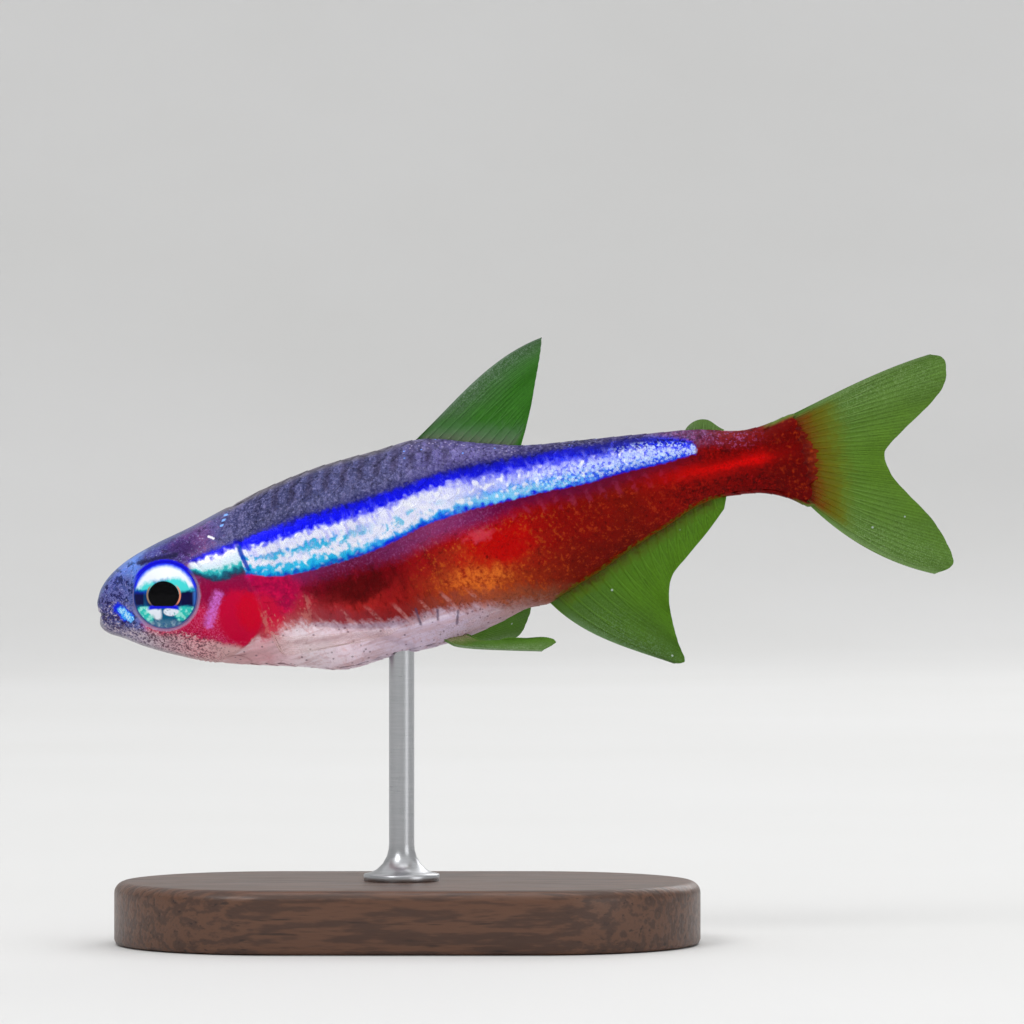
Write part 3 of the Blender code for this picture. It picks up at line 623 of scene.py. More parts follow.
def skin_map(points, quads, rows):
    """The skin's bake map: along the body and round it, with both ends shrunk to a corner."""
    column = np.tile(np.arange(SKIN_TURNS), rows)[quads]
    corner = np.arange(quads.size).reshape(-1, 4) % 4
    around = np.where((corner == 1) | (corner == 2), (column - 1) % SKIN_TURNS + 1, column)
    along = points[quads, 0] / MAP_LENGTH
    uv = np.stack((along * 0.98 + 0.01, around / SKIN_TURNS), -1).reshape(-1, 2)
    return np.concatenate((uv, np.full((SKIN_TURNS, 2), 0.004), np.full((SKIN_TURNS, 2), 0.996)))


def make_skin(finish):
    """One seamless skin over head, gill covers, trunk and tail stalk."""
    rings, stations = skin_grid()
    points = rings.reshape(-1, 3)
    faces = tube_faces(len(rings), SKIN_TURNS)
    station = np.repeat(stations, SKIN_TURNS)
    coat = COAT_DEPTH * (1 - fade(station, GILL_U - 0.1, GILL_U + 0.3))
    height = gill_relief(points) + head_relief(points) * fade(points[:, 0], 6.6, 7.2) - coat
    shaped = with_orbits(points + outward_normals(points, faces) * height[:, None])
    uv = skin_map(points, np.array(faces[:-2]), len(rings))
    skin = build("skin", place(shaped), faces, marks(points), uv)
    dress(skin, finish, "body_skin", "head", "gill_cover_left", "gill_cover_right", "trunk", "tail_stalk")


# Scales

class Girth:
    """Turns a length round the body's half section, from the back down, into an angle."""

    def __init__(self):
        self.stations = np.linspace(4.0, HYPURAL_U, 240)
        angles = np.linspace(0.0, math.pi, 400)
        self.shares = np.linspace(0.0, 1.0, 200)
        points = skin_point(self.stations[:, None], angles[None, :])
        lengths = run_lengths(points)
        self.half = lengths[:, -1]
        self.table = np.array([np.interp(self.shares * whole[-1], whole, angles) for whole in lengths])
        self.widest = np.array([np.interp(math.pi / 2, angles, whole) for whole in lengths])

    def half_length(self, u):
        return np.interp(u, self.stations, self.half)

    def to_widest(self, u):
        return np.interp(u, self.stations, self.widest)

    def angle(self, u, length):
        """Lengths under 0 or past the belly go on round the other side."""
        half = self.half_length(u)
        folded = np.where(length > half, 2 * half - length, np.abs(length))
        share = np.clip(folded / half, 0.0, 1.0) * (len(self.shares) - 1)
        rows = len(self.stations)
        row = np.clip(np.interp(u, self.stations, np.arange(rows)), 0, rows - 1.001)
        r, s = row.astype(int), np.minimum(share.astype(int), len(self.shares) - 2)
        fr, fs = row - r, share - s
        near = self.table[r, s] * (1 - fs) + self.table[r, s + 1] * fs
        far = self.table[r + 1, s] * (1 - fs) + self.table[r + 1, s + 1] * fs
        found = near * (1 - fr) + far * fr
        return np.where(length > half, math.tau - found, found * np.where(length < 0, -1.0, 1.0))


def scale_roots(girth):
    """(u, length round the body) of each scale's root on the left side, in rows from the widest line
    up and down, then the rows on the midlines of back and belly."""
    columns = [SCALE_FIRST_U]
    while columns[-1] < SCALE_LAST_U:
        columns.append(columns[-1] + float(smooth(SCALE_SPACING, columns[-1])) / 2)
    roots = []
    for k in range(-SCALE_ROWS, SCALE_ROWS + 1):
        for u in columns[k % 2::2]:
            pitch = float(smooth(SCALE_PITCH, u))
            length = float(girth.to_widest(u)) + k * pitch
            if 0.42 * pitch < length < float(girth.half_length(u)) - 0.42 * pitch:
                roots.append((u, length))
    for u in columns[::2]:
        roots.append((u, 0.0))
        roots.append((u, float(girth.half_length(u))))
    kept = []
    for u, length in roots:
        v = skin_point(u, girth.angle(np.array(u), np.array(length)))[2]
        start = float(smooth(GILL_EDGE, v)) - (0.45 if v < GILL_TOP_V else 0.1)
        if u > start:
            kept.append((u, length))
    return np.array(kept)


def plate_spread(u0, s0, t, q, girth, dice):
    """Station and angle of the plates' points, and the plates' lengths. A plate follows its row: the
    widest line's, the back's or the belly's."""
    grow = dice.uniform(0.95, 1.05, u0.shape)
    length = np.minimum(SCALE_LENGTH * smooth(SCALE_SPACING, u0) * grow, SCALE_REAR_U - u0)
    half = SCALE_WIDTH * smooth(SCALE_PITCH, u0) * grow / 2
    shape = 0.80 + 0.20 * np.sin(t * math.pi * 0.55)
    wide = half * shape * np.sqrt(1 - 0.55 * np.maximum(t - 0.45, 0) ** 2)
    u = u0 + length * t * (1 - 0.34 * q**2 * t) + dice.uniform(-0.03, 0.03, u0.shape)
    s = s0 + (girth.to_widest(u) - girth.to_widest(u0)) + q * wide
    s = np.where(s0 == 0.0, q * wide, s)
    at_belly = np.isclose(s0, girth.half_length(u0))
    s = np.where(at_belly, girth.half_length(u) + q * wide, s)
    return u, girth.angle(u, s), length


def plate_lift(t, q, length, dice):
    """Height of the plates' points over the smooth body, on their outer and inner faces."""
    under = np.array((0.0, 1.0))[None, :, None, None]
    thick = SCALE_THICK * (1 - 0.55 * t) * (1 - 0.5 * np.abs(q) ** 3)
    tilt = SCALE_TILT * dice.uniform(0.85, 1.2, length.shape)
    lift = -SCALE_SINK + tilt * t * length - under * thick + 0.004 * (1 - q**2) * t
    return lift - 0.03 * fade(t, 0.0, 0.12)


def scale_plates(roots, girth, dice, mirrored):
    """Points, smooth-body points and own coordinates of closed scale plates, in arrays of
    (plate, side, along, across)."""
    t = np.linspace(0.0, 1.0, SCALE_STEPS + 1)[None, None, :, None]
    q = np.linspace(-1.0, 1.0, SCALE_STEPS + 1)[None, None, None, :]
    u0, s0 = roots.T[:, :, None, None, None]
    u, angle, length = plate_spread(u0, s0, t, q, girth, dice)
    lift = plate_lift(t, q, length, dice)
    base = skin_point(np.minimum(u, HYPURAL_U), angle)
    normal = skin_normal(np.minimum(u, HYPURAL_U - 0.05), angle)
    base[..., 0] = np.broadcast_to(u, base.shape[:-1])
    past = np.clip((u - HYPURAL_U) / 0.8, 0.0, 1.0)
    base[..., 1] *= np.sqrt(1 - past**2 * 0.9)
    points = base + normal * (lift - gill_slit(base[..., 0], base[..., 2]))[..., None]
    own = np.stack(np.broadcast_arrays(t, q, dice.uniform(0.0, 1.0, u0.shape)), -1)
    if mirrored:
        points[..., 1] *= -1
        base[..., 1] *= -1
    return points, np.broadcast_to(base, points.shape), np.broadcast_to(own, points.shape)


def points_before(plates):
    """Number of each plate's first point, shaped to be added to the faces of one plate."""
    return np.arange(plates)[:, None, None] * 2 * (SCALE_STEPS + 1) ** 2


def scale_map(roots, angle, own, mirrored):
    """Bake map of the scales, by point: a small patch each, where its root lies on the body."""
    around = angle / math.tau % 1.0
    if mirrored:
        around = 1 - around
    spot = np.stack((roots[:, 0] / MAP_LENGTH * 0.98 + 0.01, around), -1)
    spot = np.clip(spot, BAKE_PATCH, 1 - BAKE_PATCH)[:, None, :]
    local = np.stack((own[..., 0] - 0.5, own[..., 1] / 2), -1).reshape(len(roots), -1, 2)
    return (spot + local * BAKE_PATCH).reshape(-1, 2)


def make_scales(finish):
    """The coat, in four pieces: each side's front and rear. The rows on the midlines of back and belly
    go with the left side."""
    girth = Girth()
    roots = scale_roots(girth)
    u, length = roots.T
    middle = (length == 0.0) | np.isclose(length, girth.half_length(u))
    for side, mirrored in (("left", False), ("right", True)):
        for part, inside in (("front", u < COAT_SPLIT_U), ("rear", u >= COAT_SPLIT_U)):
            dice = np.random.default_rng(len(side) * 10 + len(part))
            chosen = roots[inside & ~(middle & mirrored)]
            chosen = chosen[np.argsort(chosen[:, 0], kind="stable")]
            points, base, own = scale_plates(chosen, girth, dice, mirrored)
            faces = sheet_faces(SCALE_STEPS + 1, SCALE_STEPS + 1)[None] + points_before(len(chosen))
            faces = faces.reshape(-1, 4)
            fields = marks(base.reshape(-1, 3))
            fields["scale"] = own.reshape(-1, 3)
            uv = scale_map(chosen, girth.angle(*chosen.T), own, mirrored)[faces].reshape(-1, 2)
            name = "scales_%s_%s" % (side, part)
            dress(build(name, place(points.reshape(-1, 3)), faces.tolist(), fields, uv), finish, "body_skin")


# Eyes

def make_eye(name, side, finish):
    """A domed eye in its socket, with a field that the iris's rings follow."""
    turn = np.arange(EYE_TURNS) * math.tau / EYE_TURNS
    share = np.linspace(0.02, 1.0, EYE_RINGS)[:, None]
    du, dv = EYE_EDGE * share * np.cos(turn), EYE_EDGE * share * np.sin(turn)
    plane = plane_off(EYE_U + du, EYE_V + dv)
    dome = half_width(EYE_U, blunt(WIDEST_V, EYE_U)) + EYE_PROUD - plane_off(EYE_U, EYE_V)
    off = plane + dome * (1 - share**2) ** 0.8 - 0.06 * share**8
    front = np.stack((EYE_U + du, side * off, EYE_V + dv), -1)
    back = np.stack((EYE_U + du * 0.97, side * (plane - 0.45), EYE_V + dv * 0.97), -1)
    points = np.concatenate((front, back[-1:])).reshape(-1, 3)
    u, v = (points[:, 0] - EYE_U) / EYE_EDGE, (points[:, 2] - EYE_V) / EYE_EDGE
    x = u * math.cos(PITCH) - v * math.sin(PITCH)
    z = u * math.sin(PITCH) + v * math.cos(PITCH)
    faces = tube_faces(EYE_RINGS + 1, EYE_TURNS)
    dress(build(name, place(points), faces, {"iris": np.stack((x, 0 * x, z), -1)}), finish, "eye", name)


# Fins

def bezier(guides, t):
    """Points of the curves guides[curve, 4, 3] at shares t, as an array of (curve, share, 3)."""
    s = 1 - t
    weights = np.stack((s**3, 3 * s * s * t, 3 * s * t * t, t**3), -1)
    return np.einsum("rk,ckx->crx", weights, guides)


def ray_height(across, b, plain):
    """Height from 0 to 1 of the rays over their membrane. across counts rays from the leading one, b
    runs from root to tip, and the first plain rays don't branch."""
    nearest = np.round(across)
    off = (across - nearest)[:, None]
    split = np.where(nearest < plain, 0.0, 1.0)[:, None]
    first = 0.25 * split * (1 - fade(b, 0.14, 0.62))[None, :]
    second = 0.125 * split * (1 - fade(b, 0.40, 0.90))[None, :]
    width = (0.13 - 0.075 * b)[None, :]
    height = np.zeros((len(across), len(b)))
    for one in (-1, 1):
        for two in (-1, 1):
            height = np.maximum(height, bump(off - one * first - two * second, width))
    return height


def fin_sheet(curves, across, b):
    """Points (ray, share, 3) of a fin's middle, from its sunk root to its scalloped edge."""
    out = curves[:, 1] - curves[:, 0]
    out /= np.linalg.norm(out, axis=1, keepdims=True)
    scallop = 1 - SCALLOP * (1 - np.abs(np.cos(across * math.pi)))
    sheet = bezier(curves, b)
    tips = curves[:, 3] - curves[:, 2]
    sheet -= (tips * (1 - scallop)[:, None])[:, None, :] * (b**6)[None, :, None]
    depths = np.linspace(FIN_SINK, 0.0, SUNK_ROWS + 1)[None, :-1, None]
    return np.concatenate((sheet[:, :1] - out[:, None, :] * depths, sheet), axis=1)


def fin_fields(sheet, height, across, a, b):
    """The fields that a fin's colours follow, for both of its faces."""
    ray, share_a, share_b = np.broadcast_arrays(across[:, None], a[:, None], b[None, :])
    fields = {
        "body": sheet,
        "fin": np.stack((height, share_b, share_a), -1),
        "span": np.stack((run_lengths(sheet), ray, 0 * ray), -1),
    }
    return {name: np.concatenate((values.reshape(-1, 3),) * 2) for name, values in fields.items()}


def fin_map(a, rows):
    """A fin's bake map, by point: one face in the left half and the other in the right."""
    flat = np.meshgrid(a * 0.48 + 0.01, np.linspace(0.01, 0.99, rows), indexing="ij")
    left = np.stack(flat, -1).reshape(-1, 2)
    return np.concatenate((left, left + np.array((0.5, 0.0))))


def make_fin(name, finish, slot, nodes, guides, rays, plain, wave=FIN_WAVE, thick=1.0, rows=FIN_ROWS):
    """A thin fin whose rays are fine branching ridges on both faces. guides(a) gives the curves'
    guiding points, with a from 0 at the leading ray to 1 at the last."""
    a = np.linspace(0.0, 1.0, (rays - 1) * RAY_COLUMNS + 1)
    b = np.linspace(0.0, 1.0, rows) ** 1.15
    across = a * (rays - 1)
    sheet = fin_sheet(guides(a), across, b)
    b = np.concatenate((np.zeros(SUNK_ROWS), b))
    normal = np.cross(np.gradient(sheet, axis=0), np.gradient(sheet, axis=1))
    normal /= np.linalg.norm(normal, axis=2, keepdims=True) + 1e-12
    height = ray_height(across, b, plain)
    height[0] = 1.0
    membrane = MEMBRANE[0] + (MEMBRANE[1] - MEMBRANE[0]) * b
    ridge = RAY_THICK[0] + (RAY_THICK[1] - RAY_THICK[0]) * b**0.8
    depth = (membrane[None, :] + ridge[None, :] * height) * thick
    sway = wave * np.sin(across[:, None] * 1.7 + b[None, :] * 2.5) * b[None, :] ** 1.5
    sheet = sheet + normal * sway[..., None]
    half = normal * depth[..., None] / 2
    points = np.concatenate(((sheet + half).reshape(-1, 3), (sheet - half).reshape(-1, 3)))
    faces = sheet_faces(len(a), len(b))
    fields = fin_fields(sheet, height, across, a, b)
    fin = build(name, place(points), faces.tolist(), fields, fin_map(a, len(b))[faces].reshape(-1, 2))
    dress(fin, finish, slot, *nodes)


def median_guides(root, edge, bow):
    """Guiding points of a fin in the middle plane, from root(a) to its edge. bow is how far the leading
    ray's two guiding points stand aside."""
    def guides(a):
        start = root(a)
        tip = path([(u, 0.0, v) for u, v in edge], a)
        along = tip - start
        aside = np.stack((-along[:, 2], 0 * a, along[:, 0]), -1)
        aside *= ((1 - a) ** 2 / np.linalg.norm(along, axis=1))[:, None]
        inner, outer = start + along / 3 + aside * bow[0], start + along * 2 / 3 + aside * bow[1]
        return np.stack((start, inner, outer, tip), 1)

    return guides


def body_root(ends, outline, off):
    """Root line of a fin over the back or under the belly, between two stations."""
    def root(a):
        u = ends[0] + (ends[1] - ends[0]) * a
        return np.stack((u, 0 * a, blunt(outline, u) + off), -1)

    return root


def tail_root(outline, flare):
    """Root line of one lobe, whose outer end stands flare beyond the body's line."""
    def root(a):
        outer = float(blunt(outline, HYPURAL_U)) + flare
        return np.stack((HYPURAL_U + GAP + 0 * a, 0 * a, outer + (TAIL_ROOT_SPLIT - outer) * a), -1)

    return root


def tail_guides(a):
    """Both lobes as one fan, from the top ray round the fork to the lowest."""
    upper = median_guides(tail_root(BACK, 0.0), UPPER_TAIL_EDGE, UPPER_TAIL_BOW)
    lower = median_guides(tail_root(BELLY, -TAIL_FLARE), LOWER_TAIL_EDGE, LOWER_TAIL_BOW)
    above, below = upper(np.clip(a * 2, 0.0, 1.0)), lower(np.clip(2 - a * 2, 0.0, 1.0))
    return np.where((a < 0.5)[:, None, None], above, below)


def paired_guides(side, feet, edge, lift, lean):
    """Guiding points of a fin that leaves the skin square to it and bends back."""
    def guides(a):
        u = feet[0][0] + (feet[1][0] - feet[0][0]) * a
        angle = side_angle(u, feet[0][1] + (feet[1][1] - feet[0][1]) * a, side)
        outward = skin_normal(u, angle)
        start = skin_point(u, angle) + outward * (GAP + FOOT_CLEAR)
        away = outward + np.array((lean, 0.0, 0.0))
        first = start + away / np.linalg.norm(away, axis=1, keepdims=True) * lift
        tip = path(edge, a) * np.array((1.0, side, 1.0))
        return np.stack((start, first, first + (tip - first) * GUIDE_SHARE, tip), 1)

    return guides


def adipose_guides(a):
    foot = body_root(ADIPOSE_ROOT, BACK, -0.02)(a)
    rise = ADIPOSE_HIGH * np.sin(math.pi * (0.03 + 0.94 * a)) ** 0.7 * (0.45 + 0.55 * fade(a, 0.60, 1.0))
    step = np.stack((ADIPOSE_LEAN + 0 * a, 0 * a, rise), -1)
    return np.stack((foot, foot + step / 3, foot + step * 2 / 3, foot + step), 1)


def make_fins(finish):
    dorsal = median_guides(body_root(DORSAL_ROOT, BACK, GAP), DORSAL_EDGE, DORSAL_BOW)
    anal = median_guides(body_root(ANAL_ROOT, BELLY, -GAP), ANAL_EDGE, ANAL_BOW)
    lobes = ["caudal_fin_upper", "caudal_fin_lower"]
    make_fin("dorsal_rays", finish["dorsal"], "fin", ["dorsal_fin"], dorsal, DORSAL_RAYS, 2)
    make_fin("anal_rays", finish["anal"], "fin", ["anal_fin"], anal, ANAL_RAYS, 2)
    make_fin("tail_rays", finish["tail"], "tail_fin", lobes, tail_guides, TAIL_RAYS, 1)
    make_fin("adipose_flap", finish["adipose"], "fin", ["adipose_fin"], adipose_guides, ADIPOSE_RAYS, 9,
             wave=0.0, rows=ADIPOSE_ROWS)
    for name, side in (("left", -1), ("right", 1)):
        pelvic = paired_guides(side, PELVIC_FEET[name], PELVIC_EDGE[name], PELVIC_LIFT, PELVIC_LEAN)
        pectoral = paired_guides(side, PECTORAL_FEET, PECTORAL_EDGE, PECTORAL_LIFT, PECTORAL_LEAN)
        make_fin("pelvic_rays_" + name, finish["pelvic"], "fin", ["pelvic_fin_" + name], pelvic,
                 PELVIC_RAYS, 1, wave=PAIRED_WAVE)
        make_fin("pectoral_rays_" + name, finish["pectoral"], "fin", ["pectoral_fin_" + name], pectoral,
                 PECTORAL_RAYS, 1, wave=PAIRED_WAVE, thick=PECTORAL_THICK)


# Stand

def belly_height(x):
    """Height of the belly's line over the floor at each x, in millimetres."""
    u = np.linspace(0.0, HYPURAL_U, 2000)
    line = place(np.stack((u, 0 * u, blunt(BELLY, u)), -1)) / MM
    return np.interp(x, line[:, 0], line[:, 2])


def make_stand(wood, metal):
    """A flat wooden base with a rounded rim, and a steel rod on a turned foot."""
    radius = BASE_WIDTH / 2
    turns = np.linspace(0.0, math.pi / 2, 8)
    profile = [(0.02, 0.0), (radius - 0.35, 0.0), (radius - 0.08, 0.06), (radius, 0.25)]
    profile += [
        (radius - BASE_ROUND * (1 - math.cos(t)), BASE_HEIGHT - BASE_ROUND * (1 - math.sin(t))) for t in turns
    ]
    profile += [(radius - BASE_ROUND - 0.6, BASE_HEIGHT), (0.02, BASE_HEIGHT)]
    points, faces = turned(profile, BASE_TURNS, BASE_X, BASE_LENGTH / 2 - radius)
    dress(build("display_base", points, faces), wood, "stand_wood", "stand_base")
    profile = [(r, BASE_HEIGHT + rise) for r, rise in ROD_FOOT] + [(ROD_RADIUS, 0.0)]
    points, faces = turned(profile, ROD_TURNS, ROD_X)
    top = points[-ROD_TURNS:]
    top[:, 2] = (belly_height(top[:, 0] / MM) + ROD_SINK) * MM
    dress(build("display_rod", points, faces), metal, "stand_metal", "stand_rod")


# Materials

class Signal:
    """A number that a material's nodes work out."""

    def __init__(self, paint, socket):
        self.paint = paint
        self.socket = socket

    def __add__(self, other):
        return self.paint.math("ADD", self, other)

    def __sub__(self, other):
        return self.paint.math("SUBTRACT", self, other)

    def __mul__(self, other):
        return self.paint.math("MULTIPLY", self, other)

    def raised(self, power):
        return self.paint.math("POWER", self, power)

    def size(self):
        return self.paint.math("ABSOLUTE", self)

    def sine(self, wavelength):
        return self.paint.math("SINE", self * (math.tau / wavelength))

    def over(self, other):
        """The greater of the two."""
        return self.paint.math("MAXIMUM", self, other)

    def rise(self, start, end):
        """0 at start, 1 at end, smooth between."""
        return self.paint.smoothstep(self, start, end, 0.0, 1.0)

    def fall(self, start, end):
        """1 at start, 0 at end, smooth between."""
        return self.paint.smoothstep(self, start, end, 1.0, 0.0)

    def band(self, start, end, soft):
        """1 between start and end, 0 outside, with soft edges."""
        return self.rise(start - soft, start + soft) * self.fall(end - soft, end + soft)


class Paint:
    """One material and the nodes that it is made of."""

    def __init__(self, name, **shader):
        self.made = bpy.data.materials.new(name)
        self.made.use_nodes = True
        self.tree = self.made.node_tree
        self.shader = self.tree.nodes["Principled BSDF"]
        for key, value in shader.items():
            self.shader.inputs[SHADER_SOCKETS[key]].default_value = value

    def add(self, kind, inputs, output=0, **settings):
        node = self.tree.nodes.new("ShaderNode" + kind)
        for name, value in settings.items():
            setattr(node, name, value)
        for key, value in inputs.items():
            if isinstance(value, Signal):
                self.tree.links.new(value.socket, node.inputs[key])
            else:
                node.inputs[key].default_value = value
        return Signal(self, node.outputs[output])

    def math(self, operation, a, b=0.0):
        return self.add("Math", {0: a, 1: b}, operation=operation)

    def smoothstep(self, value, start, end, low, high):
        inputs = {"Value": value, "From Min": start, "From Max": end, "To Min": low, "To Max": high}
        return self.add("MapRange", inputs, interpolation_type="SMOOTHSTEP")

    def field(self, name):
        """A point field as its vector and its three numbers."""
        vector = self.add("Attribute", {}, output="Color", attribute_name=name)
        parts = [self.add("SeparateXYZ", {0: vector}, output=k) for k in range(3)]
        return [vector, *parts]

    def noise(self, vector, scale, detail=3.0, rough=0.55):
        """Soft noise round 0, mostly from -0.5 to 0.5. scale is in patches to the millimetre."""
        inputs = {"Vector": vector, "Scale": scale, "Detail": detail, "Roughness": rough}
        return (self.add("TexNoise", inputs) - 0.5) * 2.2

    def dots(self, vector, scale, size):
        """Round dots, scale of them to the millimetre, of a size from 0 to 1."""
        distance = self.add("TexVoronoi", {"Vector": vector, "Scale": scale}, output="Distance")
        return distance.fall(size * 0.6, size)

    def stretched(self, vector, factors):
        return self.add("VectorMath", {0: vector, 1: factors}, operation="MULTIPLY")

    def spot(self, vector, centre, radii):
        """1 in the middle of an oval spot (u, v) of the side, 0 outside."""
        shifted = self.add("VectorMath", {0: vector, 1: (-centre[0], 0.0, -centre[1])}, operation="ADD")
        scaled = self.stretched(shifted, (1 / radii[0], 0.0, 1 / radii[1]))
        length = self.add("VectorMath", {0: scaled}, output="Value", operation="LENGTH")
        return length.fall(0.35, 1.15)

    def near(self, vector, start, end):
        """Distance in the side view from the line between two places (u, v), in millimetres."""
        a, b = Vector((start[0], 0.0, start[1])), Vector((end[0], 0.0, end[1]))
        flat = self.stretched(vector, (1.0, 0.0, 1.0))
        off = self.add("VectorMath", {0: flat, 1: -a}, operation="ADD")
        along = self.add("VectorMath", {0: off, 1: (b - a) / (b - a).length_squared}, output="Value",
                         operation="DOT_PRODUCT")
        share = self.add("Clamp", {"Value": along})
        foot = self.add("VectorMath", {0: b - a, "Scale": share}, operation="SCALE")
        gap = self.add("VectorMath", {0: off, 1: foot}, operation="SUBTRACT")
        return self.add("VectorMath", {0: gap}, output="Value", operation="LENGTH")

    def leaning(self, vector, angle, factors):
        """A vector turned about Y and stretched, so that noise on it runs in slanting fibres."""
        inputs = {"Vector": vector, "Rotation": (0.0, -angle, 0.0), "Scale": [1 / f for f in factors]}
        return self.add("Mapping", inputs, vector_type="TEXTURE")

    def wobbled(self, vector, scale, amount):
        """A vector field moved about by noise, so that what follows it gets ragged edges."""
        elsewhere = self.add("Mapping", {"Vector": vector, "Location": (9.7, 4.1, 7.3)})
        across, up = self.noise(vector, scale) * amount, self.noise(elsewhere, scale) * amount
        moved = self.add("CombineXYZ", {0: across, 2: up})
        return self.add("VectorMath", {0: moved, 1: vector}, operation="ADD")

    def colour(self, value):
        return value if isinstance(value, Signal) else rgb(value)

    def mix(self, share, below, above):
        inputs = {0: share, 6: self.colour(below), 7: self.colour(above)}
        return self.add("Mix", inputs, output=2, data_type="RGBA")

    def layers(self, colour):
        """A function that lays a tone over the colour by a share, and gives the colour so far."""
        def lay(share, tone):
            nonlocal colour
            colour = self.mix(share, colour, tone)
            return colour

        return lay

    def shade(self, colour, amount):
        """A colour times a number."""
        inputs = {0: 1.0, 6: colour, 7: amount}
        return self.add("Mix", inputs, output=2, data_type="RGBA", blend_type="MULTIPLY")

    def ramp(self, value, stops):
        """Colours at (place, colour) stops from 0 to 1."""
        node = self.tree.nodes.new("ShaderNodeValToRGB")
        self.tree.links.new(value.socket, node.inputs[0])
        elements = node.color_ramp.elements
        while len(elements) < len(stops):
            elements.new(0.5)
        for element, (position, colour) in zip(elements, stops):
            element.position = position
            element.color = rgb(colour)
        return Signal(self, node.outputs[0])

    def along_body(self, u, stops):
        """Colours at (u, colour) stops."""
        return self.ramp(u * (1 / 40), [(at / 40, colour) for at, colour in stops])

    def relief(self, height, distance, strength=1.0):
        """Bump whose height of 1 stands distance millimetres proud."""
        inputs = {"Strength": strength, "Distance": distance * MM, "Height": height}
        return self.add("Bump", inputs)

    def finish(self, **sockets):
        for key, signal in sockets.items():
            self.tree.links.new(signal.socket, self.shader.inputs[SHADER_SOCKETS[key]])
        return self.made


SHADER_SOCKETS = {
    "colour": "Base Color", "metallic": "Metallic", "roughness": "Roughness", "alpha": "Alpha",
    "normal": "Normal", "specular": "Specular IOR Level", "coat": "Coat Weight",
    "coat_roughness": "Coat Roughness", "ior": "IOR",
}


class Flesh:
    """What the colours of skin and scales follow: the fields that marks() gives, and noises. Scales
    begin behind the head, so theirs leave out its markings. The functions below call it f."""

    def __init__(self, paint, scaly):
        self.p = paint
        self.scaly = scaly
        self.body, self.u, _, self.v = paint.field("body")
        _, self.t, self.over_low, self.over_top = paint.field("stripe")
        _, self.under_back, self.over_white, self.behind_gill = paint.field("zones")
        _, _, self.flank, self.eye = paint.field("lines")
        _, self.over_belly, _, _ = paint.field("edges")
        self.fine = paint.noise(self.body, 6.0)
        self.finest = paint.noise(self.body, 13.0, 2.0)
        self.broad = paint.noise(self.body, 1.1)
        self.clumps = paint.noise(self.body, 3.4, 1.5)
        self.ragged = paint.wobbled(self.body, 1.9, 0.60)
        self.grains = paint.noise(self.body, 8.0, 2.0, 0.7)
        self.fibres = paint.noise(paint.leaning(self.body, FIBRE_LEAN, FIBRE_SCALE), 1.0, 6.0, 0.68)
        self.upright = paint.noise(paint.leaning(self.body, 0.12, (2.6, 1.0, 0.7)), 1.0, 5.0, 0.65)


def flank_colour(f):
    p = f.p
    u = f.u + f.broad * 0.7
    upper = p.along_body(u, (
        (8.0, (195, 5, 92)), (9.6, (186, 10, 70)), (11.0, (120, 4, 30)), (13.2, (103, 0, 16)),
        (15.5, (118, 0, 10)), (17.3, (150, 12, 14)), (19.6, (178, 4, 4)), (22.0, (160, 6, 4)),
        (24.5, (128, 6, 2)), (27.5, (116, 12, 2)), (30.0, (134, 6, 2)), (34.0, (112, 1, 1)),
        (36.3, (98, 2, 1)),
    ))
    lower = p.along_body(u, (
        (8.0, (196, 40, 70)), (9.6, (189, 40, 60)), (11.2, (158, 34, 42)), (13.2, (174, 34, 32)),
        (15.6, (146, 20, 18)), (17.2, (160, 50, 22)), (19.5, (184, 72, 26)), (22.0, (140, 36, 12)),
        (24.5, (112, 15, 3)), (27.5, (92, 9, 2)), (30.5, (112, 4, 1)), (36.0, (104, 1, 1)),
    ))
    lay = p.layers(p.mix((f.flank + f.broad * 0.25).fall(0.20, 0.70), upper, lower))
    lay(p.spot(f.ragged, (13.4, -1.85), (2.6, 0.85)) * 0.85, (80, 0, 2))
    rear = f.u.band(16.6, 31.5, 1.2) * f.over_low.fall(-1.2, -0.4)
    gold = p.along_body(f.u, (
        (17.0, (196, 86, 26)), (21.0, (190, 80, 20)), (25.0, (158, 48, 10)), (31.0, (150, 34, 8)),
    ))
    flecks = f.fibres * 0.42 + f.fine * 0.32 + f.clumps * 0.36 + f.grains * 0.40
    lay(flecks.rise(0.02, 0.34) * rear * 0.78, gold)
    glow = p.spot(f.ragged, (19.4, -2.65), (2.3, 0.85)) * flecks.rise(-0.25, 0.25)
    lay(glow * 0.7, (232, 118, 40))
    lay(p.spot(f.ragged, (20.9, -1.3), (2.0, 1.15)) * 0.92, (184, 0, 1))
    # Painted highlight: a pink patch on the red flank, just under the stripe.
    lay(p.spot(f.ragged, (19.9, -0.5), (1.0, 0.35)) * 0.6, (206, 64, 84))
    front = f.u.band(10.2, 17.5, 1.2)
    lay((f.upright + f.clumps * 0.4).rise(-0.05, 0.50) * front * 0.62, (64, 0, 2))
    lay((f.upright + f.fine * 0.3).fall(-0.45, -0.10) * front * 0.45, (156, 10, 26))
    dark = flecks.fall(-0.50, -0.05) * f.u.rise(16.0, 18.0)
    lay(dark * 0.66, (58, 3, 2))
    stalk = f.u.rise(28.5, 31.0)
    lay((f.grains + f.clumps * 0.7).fall(-0.35, 0.10) * stalk * 0.60, (62, 0, 1))
    return lay((f.grains + f.fine * 0.5).rise(0.12, 0.50) * stalk * 0.50, (168, 12, 5))


